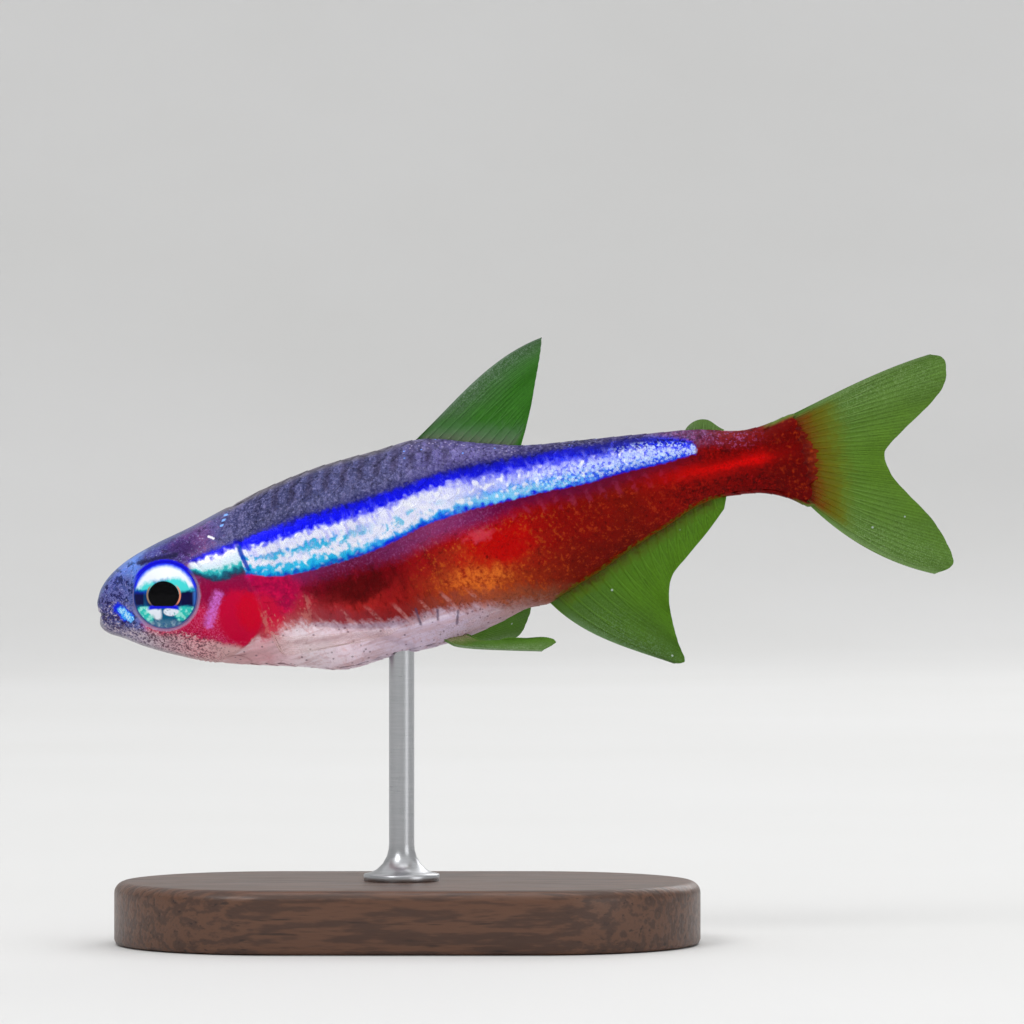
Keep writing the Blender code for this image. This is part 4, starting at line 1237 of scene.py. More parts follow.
def with_streak(f, colour):
    """The glowing line along the tail stalk."""
    lay = f.p.layers(colour)
    off = (f.v + f.broad * 0.20 + f.fine * 0.10 + f.clumps * 0.08 - 0.34).size()
    glow = off.fall(0.0, 0.75) * f.u.band(29.0, 36.2, 2.4)
    lay(glow * 0.75, (176, 3, 2))
    core = (off + f.fine * 0.10).fall(0.0, 0.34) * f.u.band(31.4, 35.2, 1.6)
    return lay(core * (f.grains + f.fine * 0.6).rise(-0.6, 0.2) * 0.9, (214, 3, 2))


def with_mauve(f, colour):
    p = f.p
    lay = p.layers(colour)
    below = f.over_low + f.fine * 0.18 + f.clumps * 0.16 + f.u.band(15.0, 21.2, 1.6) * 0.44
    reach = below.rise(-0.94, 0.04) * f.u.band(8.8, 31.5, 1.0)
    tone = p.along_body(f.u, (
        (9.0, (150, 24, 92)), (11.0, (118, 30, 84)), (13.0, (100, 20, 66)), (15.0, (104, 30, 82)),
        (17.5, (128, 48, 100)), (19.5, (112, 34, 92)), (21.0, (92, 4, 62)), (24.0, (92, 8, 56)),
        (27.0, (94, 8, 48)), (31.0, (108, 6, 26)),
    ))
    lay(reach * 0.92, tone)
    pale = (f.grains + f.finest * 0.5).rise(-0.1, 0.6) * reach * f.u.band(11.5, 21.0, 1.2)
    lay(pale * 0.40, (158, 92, 150))
    ticks = (f.u + f.v * 0.30 + f.fine * 0.12 + f.clumps * 0.08).sine(0.80).rise(0.0, 1.0)
    ticks = ticks * below.band(-0.95, -0.20, 0.25) * f.clumps.rise(-0.3, 0.2)
    return lay(ticks * f.u.band(21.5, 30.0, 1.0) * 0.22, (160, 56, 100))


def with_belly(f, colour):
    p = f.p
    lay = p.layers(colour)
    edge = f.over_white + f.fine * 0.20 + f.broad * 0.20 + f.fibres * 0.45
    pale = p.along_body(f.u + f.broad * 0.6, (
        (3.0, (186, 148, 152)), (6.0, (206, 164, 168)), (8.0, (232, 180, 190)), (10.0, (255, 240, 250)),
        (12.0, (250, 228, 242)), (15.0, (222, 204, 226)), (18.0, (212, 192, 216)), (20.5, (180, 146, 150)),
        (22.5, (156, 108, 94)), (24.0, (140, 84, 64)),
    ))
    lay_pale = p.layers(pale)
    lay_pale(f.clumps.rise(0.0, 0.5) * 0.35, (204, 156, 160))
    fold = (f.u + f.v * 0.62 + f.broad * 0.15).sine(1.27).rise(0.70, 1.0)
    lay_pale(f.fibres.rise(0.05, 0.5) * f.u.fall(12.0, 15.0) * 0.5, (236, 178, 176))
    level = p.noise(p.leaning(f.body, 0.10, (0.35, 1.0, 3.2)), 1.0, 4.0, 0.6)
    lay_pale(level.fall(-0.35, 0.05) * 0.50, (196, 156, 160))
    pale = lay_pale(level.rise(0.05, 0.45) * 0.45, (252, 236, 246))
    between = (edge + f.clumps * 0.25).fall(0.0, 0.90) * f.u.band(6.5, 24.5, 1.2)
    tone = p.along_body(f.u, (
        (8.0, (190, 92, 96)), (12.0, (142, 58, 70)), (15.0, (122, 34, 36)), (18.0, (146, 74, 62)),
        (21.0, (146, 84, 60)), (24.0, (130, 70, 44)),
    ))
    lay(between * 0.66, tone)
    speckle = (f.fine + f.finest * 0.6).rise(0.0, 0.35) * between * f.u.rise(15.0, 18.0)
    lay(speckle * 0.6, (92, 44, 34))
    return with_belly_lines(f, lay(edge.fall(-0.66, 0.10), pale), fold, edge)


def with_belly_lines(f, colour, fold, edge):
    """Folds, painted shade in two creases and along a line below the flank, dark bars and specks on the white
    of the belly.
    """
    p = f.p
    lay = p.layers(colour)
    folds = fold * f.over_white.band(-0.45, 0.60, 0.30) * f.u.band(11.2, 19.6, 0.8)
    folds = folds * (f.broad + f.fine * 0.6).rise(-0.30, 0.25)
    lay(folds * 0.34, (230, 170, 168))
    # Painted shade: a grey line along the lower edge of the flank's muscle.
    shade = (f.over_white + f.broad * 0.12 + 0.30).size().fall(0.04, 0.20)
    lay(shade * f.u.band(10.6, 15.2, 0.8) * 0.45, (148, 130, 156))
    # Painted shade: grey lines along two creases of the belly.
    crease_shade = p.near(f.body, (9.6, -3.90), (13.9, -4.35)) + f.fine * 0.05 + f.clumps * 0.05
    lay(crease_shade.fall(0.02, 0.24) * 0.40, (158, 122, 138))
    crease_shade = p.near(f.body, (13.9, -4.40), (15.3, -5.30)) + f.fine * 0.05
    lay(crease_shade.fall(0.02, 0.26) * 0.30, (158, 136, 160))
    for start, end in BELLY_BARS:
        bar = (p.near(f.body, start, end) + f.fine * 0.05).fall(0.02, 0.10)
        lay(bar * 0.65, (74, 62, 92))
    specks = p.dots(f.body, 2.6, 0.20) * edge.fall(-0.3, 0.2)
    lay(specks * 0.6, (100, 72, 88))
    dusk = f.finest.rise(-0.1, 0.4) * (f.v + f.u * -0.12).fall(-6.9, -6.4) * f.u.band(16.0, 23.0, 1.2)
    return lay(dusk * 0.40, (140, 106, 96))


def stripe_colours(f):
    p = f.p
    beads = (f.u - f.v * 0.25 + f.broad * 0.15).sine(0.46) * 0.016
    puffs = p.noise(f.body, 2.6, 1.0)
    t = f.t + f.fine * 0.020 + f.clumps * 0.07 + puffs * 0.11 + beads
    front, middle, rear, last = [p.ramp(t, stops) for stops in STRIPE_COLOURS]
    lay = p.layers(p.mix(f.u.rise(12.5, 15.5), front, middle))
    lay(f.u.rise(18.0, 21.0), rear)
    colour = with_stripe_flecks(f, lay(f.u.rise(24.0, 27.5), last))
    if f.scaly:
        return colour
    return p.mix(f.behind_gill.fall(-0.06, 0.06), colour, head_stripe(f, t + f.clumps * 0.05))


def with_stripe_flecks(f, colour):
    """Pools, lights and beads of paler and darker blue in the stripe."""
    p = f.p
    lay = p.layers(colour)
    pools = p.noise(f.body, 2.2, 2.0).rise(0.05, 0.30) * f.t.band(0.10, 0.46, 0.05)
    lay(pools * f.u.band(9.0, 18.0, 1.0) * 0.75, (44, 188, 230))
    lilac = p.noise(f.body, 2.8, 2.0).rise(-0.1, 0.5) * f.t.band(0.24, 0.68, 0.10)
    lay(lilac * f.behind_gill.rise(0.0, 1.0) * 0.45, (184, 188, 250))
    lights = p.noise(f.body, 3.6, 0.5).rise(0.10, 0.50) * f.t.band(0.10, 0.66, 0.08)
    lay(lights * 0.80, (246, 248, 255))
    specks = p.noise(f.body, 6.0, 1.0) + f.t.fall(0.2, 0.8) * 0.22
    specks = specks.rise(0.16, 0.42) * f.t.band(0.05, 0.80, 0.06)
    lay(specks * f.u.rise(21.5, 25.5) * 0.70, (22, 54, 232))
    streaks = p.noise(p.leaning(f.body, 0.25, (3.6, 1.0, 1.0)), 1.0, 3.0)
    lay(streaks.rise(0.0, 0.4) * f.t.band(0.42, 0.82, 0.1) * 0.40, (132, 134, 252))
    combed = p.noise(p.leaning(f.body, -0.30, (7.5, 1.6, 2.0)), 1.0, 3.0, 0.6)
    lay(combed.rise(0.0, 0.35) * f.t.band(0.38, 0.80, 0.1) * f.u.rise(18.0, 22.0) * 0.55, (70, 84, 244))
    beadlets = p.dots(f.body, 5.2, 0.52) * f.t.band(0.08, 0.52, 0.06)
    crumbs = p.noise(f.body, 6.6, 1.5).rise(-0.05, 0.20) * f.u.rise(26.5, 29.0) * f.t.band(0.12, 0.80, 0.08)
    beadlets = beadlets.over(crumbs)
    sheen = (f.clumps + f.finest * 0.4).rise(0.1, 0.5) * f.t.rise(0.72, 0.80)
    lay(sheen * 0.30, (70, 76, 255))
    end = f.u.rise(28.6, 31.0) * f.fine.rise(-0.25, 0.15)
    lay(end * 0.85, (20, 44, 236))
    return lay(beadlets * f.u.rise(20.5, 24.0) * 0.62, (202, 224, 254))


def head_stripe(f, t):
    return f.p.ramp(t, (
        (0.0, (96, 40, 84)), (0.08, (44, 62, 92)), (0.20, (22, 112, 138)), (0.32, (60, 196, 200)),
        (0.42, (216, 240, 250)), (0.74, PEARL), (0.82, (104, 100, 214)), (0.89, (26, 24, 190)),
        (1.0, (14, 14, 140)),
    ))


def stripe_share(f):
    ragged = f.fine * 0.08 + f.clumps * 0.06
    inside = (f.over_low + ragged).rise(-0.05, 0.07) * (f.over_top + f.fine * 0.16).fall(-0.14, 0.20)
    rounded = f.p.spot(f.body, (29.35, 1.56), (2.45, 1.25)) + f.fine * 0.10
    end = f.u.fall(28.6, 29.2).over(rounded.rise(0.14, 0.26))
    return inside * end * f.u.rise(4.95, 5.35)


def back_colour(f):
    p = f.p
    tone = p.along_body(f.u, (
        (7.0, (66, 66, 116)), (9.0, (60, 63, 106)), (12.0, (72, 76, 124)), (16.0, (78, 79, 124)),
        (18.5, (98, 90, 152)), (20.5, (106, 96, 162)), (23.0, (74, 66, 116)), (26.0, (36, 32, 62)),
        (29.0, (70, 54, 108)), (31.3, (108, 50, 98)), (33.0, (128, 26, 34)), (35.0, (116, 8, 4)),
    ))
    lay = p.layers(tone)
    furred = f.u.fall(31.0, 33.4)
    lay((f.finest + f.fine * 0.5).rise(-0.1, 0.5) * furred * 0.52, (122, 124, 176))
    lay((f.finest - f.fine).rise(0.05, 0.5) * furred * 0.66, (28, 18, 42))
    lay((f.grains + f.fine * 0.4).rise(0.05, 0.40) * furred * 0.48, (142, 138, 186))
    lay((f.grains - f.finest * 0.5).fall(-0.45, -0.10) * furred * 0.50, (32, 28, 62))
    upright = p.noise(p.leaning(f.body, -0.35, (4.2, 1.6, 1.1)), 1.0, 5.0, 0.65)
    lay(upright.rise(0.0, 0.40) * furred * 0.45, (128, 122, 172))
    lay(upright.fall(-0.45, -0.05) * furred * 0.45, (38, 36, 74))
    streaks = f.fibres.rise(0.05, 0.45) * f.u.band(16.5, 30.5, 1.5)
    lay(streaks * f.u.fall(22.0, 26.0).over(streaks * 0.5) * 0.62, (150, 138, 208))
    lay(f.under_back.fall(0.03, 0.34) * f.u.fall(15.0, 20.0) * 0.6, BACK_RIM)
    navy = (f.over_top + f.fine * 0.20).fall(0.10, 0.50) * f.u.band(8.0, 24.0, 1.0)
    tone = lay(navy * 0.50, (22, 20, 92))
    return with_back_scales(f, tone) if f.scaly else tone


def with_back_scales(f, tone):
    """Dark bars, a mottled stalk and bright points, all behind the head."""
    p = f.p
    lay = p.layers(tone)
    bars = (f.u - f.v * 0.30 + f.clumps * 0.12).sine(0.88).rise(-0.2, 0.9)
    bars = bars * f.under_back.band(0.10, 1.25, 0.30) * f.u.band(9.5, 19.5, 1.0)
    lay(bars * 0.45, (48, 36, 62))
    stalk = f.u.band(30.4, 36.0, 0.9)
    patches = (f.clumps * 0.8 + f.grains * 0.5).rise(-0.1, 0.3)
    lay(patches * stalk * 0.70, (70, 6, 26))
    glints = (f.grains - f.clumps * 0.4).rise(0.08, 0.34)
    lay(glints * f.u.band(30.4, 34.4, 1.2) * 0.62, (164, 96, 158))
    pale = p.dots(f.body, 4.6, 0.30) * f.u.band(17.0, 22.6, 0.5) * f.under_back.fall(0.25, 0.7)
    lay(pale * 0.55, (196, 184, 226))
    sparks = p.dots(f.body, 1.9, 0.13) * f.u.band(16.5, 30.0, 1.0) * f.under_back.fall(0.6, 1.3)
    return lay(sparks, (120, 160, 255))


def head_top(f):
    """The dark, marbled top and front of the head."""
    p = f.p
    top = p.along_body(f.u + f.broad * 0.3, (
        (0.0, (98, 98, 136)), (0.6, (52, 58, 128)), (1.3, (72, 94, 190)), (2.2, (98, 154, 255)),
        (3.0, (66, 70, 150)), (4.2, (64, 52, 124)), (5.0, (84, 54, 124)), (6.0, (102, 66, 124)),
        (6.8, (88, 80, 142)), (7.6, (70, 72, 126)),
    ))
    swirl = p.noise(f.body, 2.4, 5.0, 0.7)
    low = (f.v - f.u * 0.6).fall(-0.2, 0.8) * f.u.fall(1.8, 2.6)
    lay = p.layers(top)
    lay(low * 0.80, (40, 40, 98))
    lay(swirl.rise(0.0, 0.30) * 0.78, (30, 24, 62))
    lay(swirl.fall(-0.40, -0.05) * f.u.fall(2.8, 4.2) * 0.55, (146, 168, 236))
    lay(swirl.fall(-0.40, -0.05) * f.u.rise(4.0, 5.0) * 0.65, (150, 92, 138))
    squiggles = swirl.size().fall(0.01, 0.10) * f.u.fall(1.8, 3.2)
    lay(squiggles * 0.45, (140, 142, 212))
    lay((f.finest - f.fine * 0.4).rise(0.0, 0.55) * 0.45, (140, 140, 200))
    lay(p.dots(f.body, 3.0, 0.16) * 0.30, (196, 204, 250))
    return lay(f.under_back.fall(0.02, 0.40) * 0.50, (112, 130, 152))


def cheek_colour(f):
    p = f.p
    lay = p.layers(p.mix(f.finest.rise(-0.3, 0.5), (190, 14, 62), (204, 62, 112)))
    lay((f.fine + f.clumps * 0.4).rise(-0.05, 0.35) * f.v.rise(-1.6, 0.4) * 0.75, (108, 34, 76))
    return lay((f.grains + f.clumps * 0.3).fall(-0.45, -0.15) * 0.40, (216, 128, 158))


def head_colour(f):
    p = f.p
    top = head_top(f)
    cheek = cheek_colour(f)
    jaw = p.along_body(f.u, (
        (0.0, (124, 122, 150)), (1.0, (144, 136, 164)), (2.2, (192, 176, 192)), (3.2, (202, 164, 176)),
        (4.5, (222, 160, 168)), (6.0, (216, 172, 174)),
    ))
    height = f.v + f.u * 0.40 + f.broad * 0.25
    lay = p.layers(p.mix((f.v + f.u * 0.10 + f.fine * 0.12).rise(0.35, 0.75), cheek, top))
    lay(f.u.fall(1.9, 2.5), top)
    lay(height.fall(-1.10, -0.62), jaw)
    return with_freckles(f, lay(height.fall(-2.1, -1.6), (204, 166, 166)), height)


def with_freckles(f, colour, height):
    """Dark freckles and pale points on snout and jaw, where height over the jaw's line is low."""
    p = f.p
    lay = p.layers(colour)
    freckles = (f.grains + f.clumps * 0.45).rise(0.02, 0.24).over(p.dots(f.body, 6.5, 0.32))
    places = height.fall(-0.75, -0.40).over(f.u.fall(1.0, 2.0) * f.v.fall(-0.3, 0.2))
    places = places * height.rise(-2.2, -1.7) * f.u.fall(4.6, 6.6)
    freckle = p.mix(f.u.fall(1.4, 2.8), (82, 50, 66), (50, 38, 84))
    lay(freckles * places * 0.80, freckle)
    pale = (f.grains + f.clumps * 0.45).fall(-0.34, -0.10)
    lay(pale * places * 0.55, (232, 214, 218))
    margin = f.over_belly.fall(0.06, 0.30) * f.u.fall(3.2, 5.0)
    margin = margin.over(f.u.fall(0.04, 0.22) * f.v.fall(-0.2, 0.1))
    lay(margin * 0.55, (176, 174, 180))
    few = p.dots(f.body, 4.5, 0.26) * height.fall(-0.8, -0.3)
    return lay(few * 0.6, (96, 62, 80))


def with_head_lines(f, colour):
    """The painted shadow under the brow, the bright dashes on the nape, the white one a painted highlight,
    and the glint before the eye.
    """
    p = f.p
    lay = p.layers(colour)
    lay(p.spot(f.ragged, (4.9, 2.02), (0.95, 0.5)) * 0.7, (52, 28, 84))
    # Painted shadow: a dark line over the eye, under the brow.
    brow_shadow = p.near(f.body, (2.6, 1.74), (4.55, 1.74)) + f.fine * 0.10
    lay(brow_shadow.fall(0.04, 0.20) * 0.85, (20, 16, 58))
    # Painted highlight: a short white dash on the nape.
    highlight_dash = (p.near(f.body, (6.38, 2.30), (6.60, 2.15)) + f.finest * 0.05).fall(0.02, 0.09)
    lay(highlight_dash, (244, 244, 255))
    drops = p.near(f.body, (7.12, 2.68), (7.50, 3.28)).fall(0.04, 0.12) * f.v.sine(0.24).rise(-0.1, 0.4)
    lay(drops, (130, 176, 250))
    glint = p.near(f.body, (1.10, -0.34), (1.50, -0.84)) + f.fine * 0.16 + f.clumps * 0.10
    lay(glint.fall(0.20, 0.36), (20, 40, 222))
    core = p.near(f.body, (1.22, -0.46), (1.58, -0.94)) + f.fine * 0.18
    lay(core.fall(0.12, 0.26) * 0.95, (60, 168, 252))
    shine = (f.grains + f.finest * 0.4).rise(-0.12, 0.16)
    return lay(core.fall(0.08, 0.22) * shine * 0.85, (190, 238, 255))


def with_gill_cover(f, colour):
    p = f.p
    lay = p.layers(colour)
    soft = f.clumps * 0.24 + f.fine * 0.20
    plum = (p.spot(f.body, (6.9, -0.3), (2.2, 1.5)) + soft).rise(0.05, 0.65)
    lay(plum * 0.9, (138, 0, 60))
    blob = (p.spot(f.body, (7.15, -2.05), (1.50, 1.80)) + soft * 0.8).rise(0.18, 0.70)
    lay(blob, (196, 3, 54))
    core = (p.spot(f.body, (7.7, -1.9), (1.0, 1.4)) + soft).rise(0.2, 1.0)
    lay(core * 0.7, (208, 0, 34))
    band = p.near(f.body, (6.24, -0.72), (5.46, -2.02)) + f.fine * 0.24 + f.clumps * 0.10
    band = band.fall(0.04, 0.42) * (f.grains.rise(-0.5, 0.3) * 0.65 + 0.35)
    lay(band * 0.88, (216, 116, 220))
    spot = (p.spot(f.body, (7.85, -3.70), (0.55, 0.40)) + soft * 0.8).rise(0.2, 0.7)
    lay(spot * 0.8, (216, 76, 54))
    slit = f.behind_gill.size().fall(0.02, 0.12) * f.v.band(-0.1, 1.8, 0.2)
    return lay(slit * 0.85, (16, 30, 170))


def with_eye_arcs(f, colour):
    lay = f.p.layers(colour)
    arc = (f.eye + f.fine * 0.03 - 1.03).size().fall(0.02, 0.080)
    arc = arc * f.v.rise(0.45, 1.0) * f.u.rise(2.0, 2.5)
    lay(arc, (26, 26, 232))
    rim = (f.eye + f.fine * 0.03).fall(1.03, 1.10) * (f.v + f.u * -0.3).fall(-1.4, -0.6)
    return lay(rim * 0.65, (158, 150, 186))


def with_tail_base(f, colour):
    lay = f.p.layers(colour)
    lay((f.u + f.broad * 0.4).rise(34.6, 36.0) * 0.6, (96, 3, 2))
    lay((f.u + f.fine * 0.35 + f.clumps * 0.3).rise(36.8, 37.8), (116, 34, 4))
    specks = (f.clumps * 0.8 + f.fine * 0.5 + f.grains * 0.3).rise(0.05, 0.60)
    lay(specks * f.u.rise(34.6, 36.2) * 0.55, (166, 52, 10))
    rays = f.under_back.fall(0.04, 0.26) * (f.u + f.fine * 0.3).rise(35.0, 35.9)
    rays = rays.over(f.over_belly.fall(0.04, 0.24) * (f.u + f.fine * 0.3).rise(35.8, 36.5))
    lay(rays, (98, 120, 56))
    olive = (f.over_belly + f.fine * 0.22 + f.clumps * 0.20).fall(-0.02, 0.22)
    return lay(olive * f.u.band(22.9, 32.5, 0.3) * 0.85, (98, 96, 20))


def with_gill_rear(f, colour):
    """Crimson and mottled flesh just behind the gill cover."""
    p = f.p
    lay = p.layers(colour)
    reach = (p.spot(f.body, (8.8, -1.3), (1.9, 1.5)) + f.clumps * 0.25 + f.fine * 0.15).rise(0.1, 0.7)
    crimson = p.mix((f.clumps + f.upright * 0.6).rise(-0.35, 0.45), (156, 2, 62), (200, 5, 72))
    lay(reach * 0.92, crimson)
    tuck = (p.spot(f.body, (8.3, -2.3), (1.25, 1.5)) + f.fine * 0.30 + f.clumps * 0.25).rise(0.1, 0.8)
    lay(tuck * 0.88, (200, 14, 56))
    mottle = (f.upright + f.fine * 0.5).rise(0.0, 0.35) * f.u.band(7.8, 10.8, 0.5)
    mottle = mottle * f.v.band(-3.3, -1.7, 0.35)
    return lay(mottle * 0.62, (206, 124, 118))


def colours(f):
    """(colour, share of the bright stripe)."""
    p = f.p
    colour = with_streak(f, with_mauve(f, flank_colour(f)))
    on_back = (f.over_top + f.fine * 0.10).rise(-0.40, -0.20)
    rear_back = (f.under_back + f.fine * 0.25).fall(0.35, 1.10)
    on_back = p.add("Mix", {0: f.u.rise(30.6, 32.2), 2: on_back, 3: rear_back}, data_type="FLOAT")
    colour = with_gill_rear(f, with_belly(f, colour))
    back = back_colour(f)
    if not f.scaly:
        head = with_gill_cover(f, head_colour(f))
        before = (f.behind_gill + f.fine * 0.16 + f.clumps * 0.10).fall(-0.20, 0.08)
        colour = p.mix(before, colour, head)
        back = p.mix(f.u.fall(6.4, 7.6), back, head)
    colour = p.mix(on_back * f.u.rise(5.2, 6.0), colour, back)
    colour = with_tail_base(f, colour)
    share = stripe_share(f)
    if not f.scaly:
        colour = with_head_lines(f, colour)
    colour = p.mix(share, colour, stripe_colours(f))
    cut = (f.behind_gill - f.t.fall(0.0, 0.9) * 0.20 + f.fine * 0.04 + 0.02).size()
    colour = p.mix(cut.fall(0.05, 0.17) * f.t.band(0.10, 0.86, 0.05) * 0.95, colour, (10, 66, 186))
    colour = p.shade(colour, f.finest * 0.10 + 1.0)
    return (colour if f.scaly else with_eye_arcs(f, colour)), share


def skin_finish(name, scaly):
    """Wet flesh. Scales add their dark edges on the back and their fine rings."""
    paint = Paint(name, roughness=0.4, specular=0.05, coat=0.04, coat_roughness=0.12, ior=1.4)
    flesh = Flesh(paint, scaly)
    colour, stripe = colours(flesh)
    grain = flesh.fine * 0.5 + flesh.finest * 0.3
    if scaly:
        _, along, across, chance = paint.field("scale")
        reach = along + across.size().raised(3.0) * 0.12 + flesh.fine * 0.06
        dark = flesh.over_top.rise(-0.05, 0.6) * 0.14 + 0.02
        arcs = flesh.under_back.fall(0.5, 1.7) * flesh.u.band(9.5, 20.0, 1.5) * (flesh.clumps * 0.4 + 0.20)
        tone = (chance - 0.5) * 0.10 + 1.0
        colour = paint.shade(colour, tone - reach.rise(0.62, 1.0) * dark - reach.rise(0.55, 1.0) * arcs)
        rings = along.sine(0.08) * 0.12 + (across * along).sine(0.16) * 0.08
        grain = grain + rings
    rough = grain * 0.10 + 0.36 - stripe * 0.08
    return paint.finish(
        colour=colour, roughness=rough, metallic=stripe * 0.30, normal=paint.relief(grain, 0.012, 0.7)
    )


def eye_finish():
    """A black pupil in rings of blue, teal and white, under a wet shine. x runs back and z up, in
    shares of the eye's edge."""
    paint = Paint("eye_wet", roughness=0.2, specular=0.05, coat=0.14, coat_roughness=0.03, ior=1.38)
    vector, x, _, z = paint.field("iris")
    fine = paint.noise(vector, 8.0)
    broad = paint.noise(vector, 3.5, 2.0)
    radius = (x * x + z * z).raised(0.5) + fine * 0.010
    inside = radius.fall(0.90, 0.95)
    lay = paint.layers(paint.ramp(radius, (
        (0.0, INK), (0.50, (4, 10, 66)), (0.60, (0, 60, 116)), (0.72, (0, 100, 146)), (0.84, (6, 62, 136)),
        (0.93, (24, 56, 140)), (1.0, (60, 70, 150)),
    )))
    upper_iris(lay, paint, vector, x, z, radius, inside, fine, broad)
    dark_bar(lay, x, z, inside, fine, broad)
    lower_iris(lay, paint, vector, x, z, radius, inside, fine, broad)
    bright_lines(lay, paint, vector, x, z, fine, broad)
    colour = pupil_and_rim(lay, x, z, radius)
    rough = fine * 0.05 + 0.2
    return paint.finish(colour=colour, roughness=rough, normal=paint.relief(fine, 0.006, 0.4))


def upper_iris(lay, paint, vector, x, z, radius, inside, fine, broad):
    """Teal over the pupil, and a white arch in a blue glow."""
    teal = (z + fine * 0.10 + broad * 0.05).rise(0.02, 0.24) * inside
    lay(teal, (0, 150, 190))
    right = paint.spot(vector, (0.42, 0.34), (0.50, 0.32)) + broad * 0.3 + fine * 0.3
    left = paint.spot(vector, (-0.62, 0.34), (0.36, 0.20)) + fine * 0.2
    lay(right.over(left).rise(0.1, 0.55) * teal, (70, 214, 214))
    arch = z + x * x * 0.34 + broad * 0.10 + fine * 0.07 - x.rise(-0.05, 0.35) * 0.07
    white = (arch - 0.47).rise(-0.08, 0.10)
    wedge = radius.band(0.76, 0.92, 0.03) * (z + fine * 0.05).band(0.26, 0.66, 0.06) * x.rise(0.35, 0.50)
    glow = radius.band(0.87, 0.98, 0.03) * (z + fine * 0.04).rise(0.10, 0.34)
    lay(glow, (34, 50, 240))
    lay(white.over(wedge) * (radius + fine * 0.015).fall(0.86, 0.93), (236, 242, 255))
    haze = (radius + fine * 0.02).band(0.85, 0.93, 0.03) * z.rise(0.3, 0.5) * white
    lay(haze * 0.5, (110, 150, 250))


def dark_bar(lay, x, z, inside, fine, broad):
    """The dark bar across the eye, blue at its upper front and rear end."""
    bar = (z + fine * 0.05 + broad * 0.04 + 0.02).band(-0.27, 0.16, 0.06) * inside
    lay(bar * x.fall(-0.68, -0.56), (2, 4, 64))
    lay(bar * x.rise(0.44, 0.54), (2, 4, 60))
    lay(bar * z.rise(0.0, 0.2) * x.fall(-0.62, -0.45) * 0.8, (16, 60, 230))
    lay(bar * x.rise(0.80, 0.90) * 0.8, (60, 120, 220))


def lower_iris(lay, paint, vector, x, z, radius, inside, fine, broad):
    """Dark teal with bright blobs, and a pale edge below them."""
    low = (z + fine * 0.05).fall(-0.37, -0.28) * inside
    lay(low, (6, 92, 132))
    blobs = paint.spot(vector, (-0.60, -0.56), (0.36, 0.32))
    blobs = blobs.over(paint.spot(vector, (0.60, -0.48), (0.40, 0.34)))
    blobs = (blobs + fine * 0.22 + broad * 0.18).rise(0.12, 0.5)
    lay(low * blobs, (44, 200, 190))
    lay(low * blobs * (fine + broad * 0.5).rise(-0.15, 0.2) * 0.9, (156, 240, 226))
    below = (z + x * x * 0.25 + fine * 0.08 + broad * 0.05).fall(-0.84, -0.64) * radius.fall(0.93, 0.97)
    lay(below * 0.85, (80, 128, 160))
    lay(below * (broad + fine * 0.6 + x * 0.3).rise(-0.10, 0.3) * 0.7, (180, 208, 222))
    lay(below * (broad - fine).rise(0.1, 0.4) * 0.5, (20, 80, 150))


def bright_lines(lay, paint, vector, x, z, fine, broad):
    """Two white flecks and the blue line below the pupil."""
    line = (z + x * x * 0.22 + fine * 0.02 + 0.32).size().fall(0.03, 0.085)
    line = line * (x + 0.03).size().fall(0.40, 0.53)
    first = (x + z + fine * 0.09).rise(-1.06, -0.90) * (x + fine * 0.04).fall(-0.15, -0.06)
    first = first * (z + broad * 0.06 + fine * 0.04).band(-0.70, -0.38, 0.05)
    second = paint.spot(vector, (0.19, -0.47), (0.26, 0.15)).rise(0.1, 0.5) * (fine + 0.4).rise(-0.1, 0.4)
    lay(first.over(second), (232, 240, 252))
    lay(line, (14, 20, 226))


def pupil_and_rim(lay, x, z, radius):
    oval = ((x + 0.03) * (x + 0.03) * 4.73 + (z - 0.02) * (z - 0.02) * 5.8).raised(0.5)
    beside = oval.band(1.02, 1.13, 0.02) * (z - 0.02).size().fall(0.18, 0.34)
    lay(beside * x.fall(-0.3, -0.2), (150, 124, 100))
    lay(beside * x.rise(0.1, 0.2), (226, 138, 108))
    lay(oval.fall(0.97, 1.04) * z.rise(-0.33, -0.29), (0, 0, 2))
    rim = radius.rise(0.945, 0.975)
    lay(rim * z.fall(0.10, 0.40), (126, 124, 172))
    return lay(rim * z.rise(0.10, 0.40), (28, 34, 220))


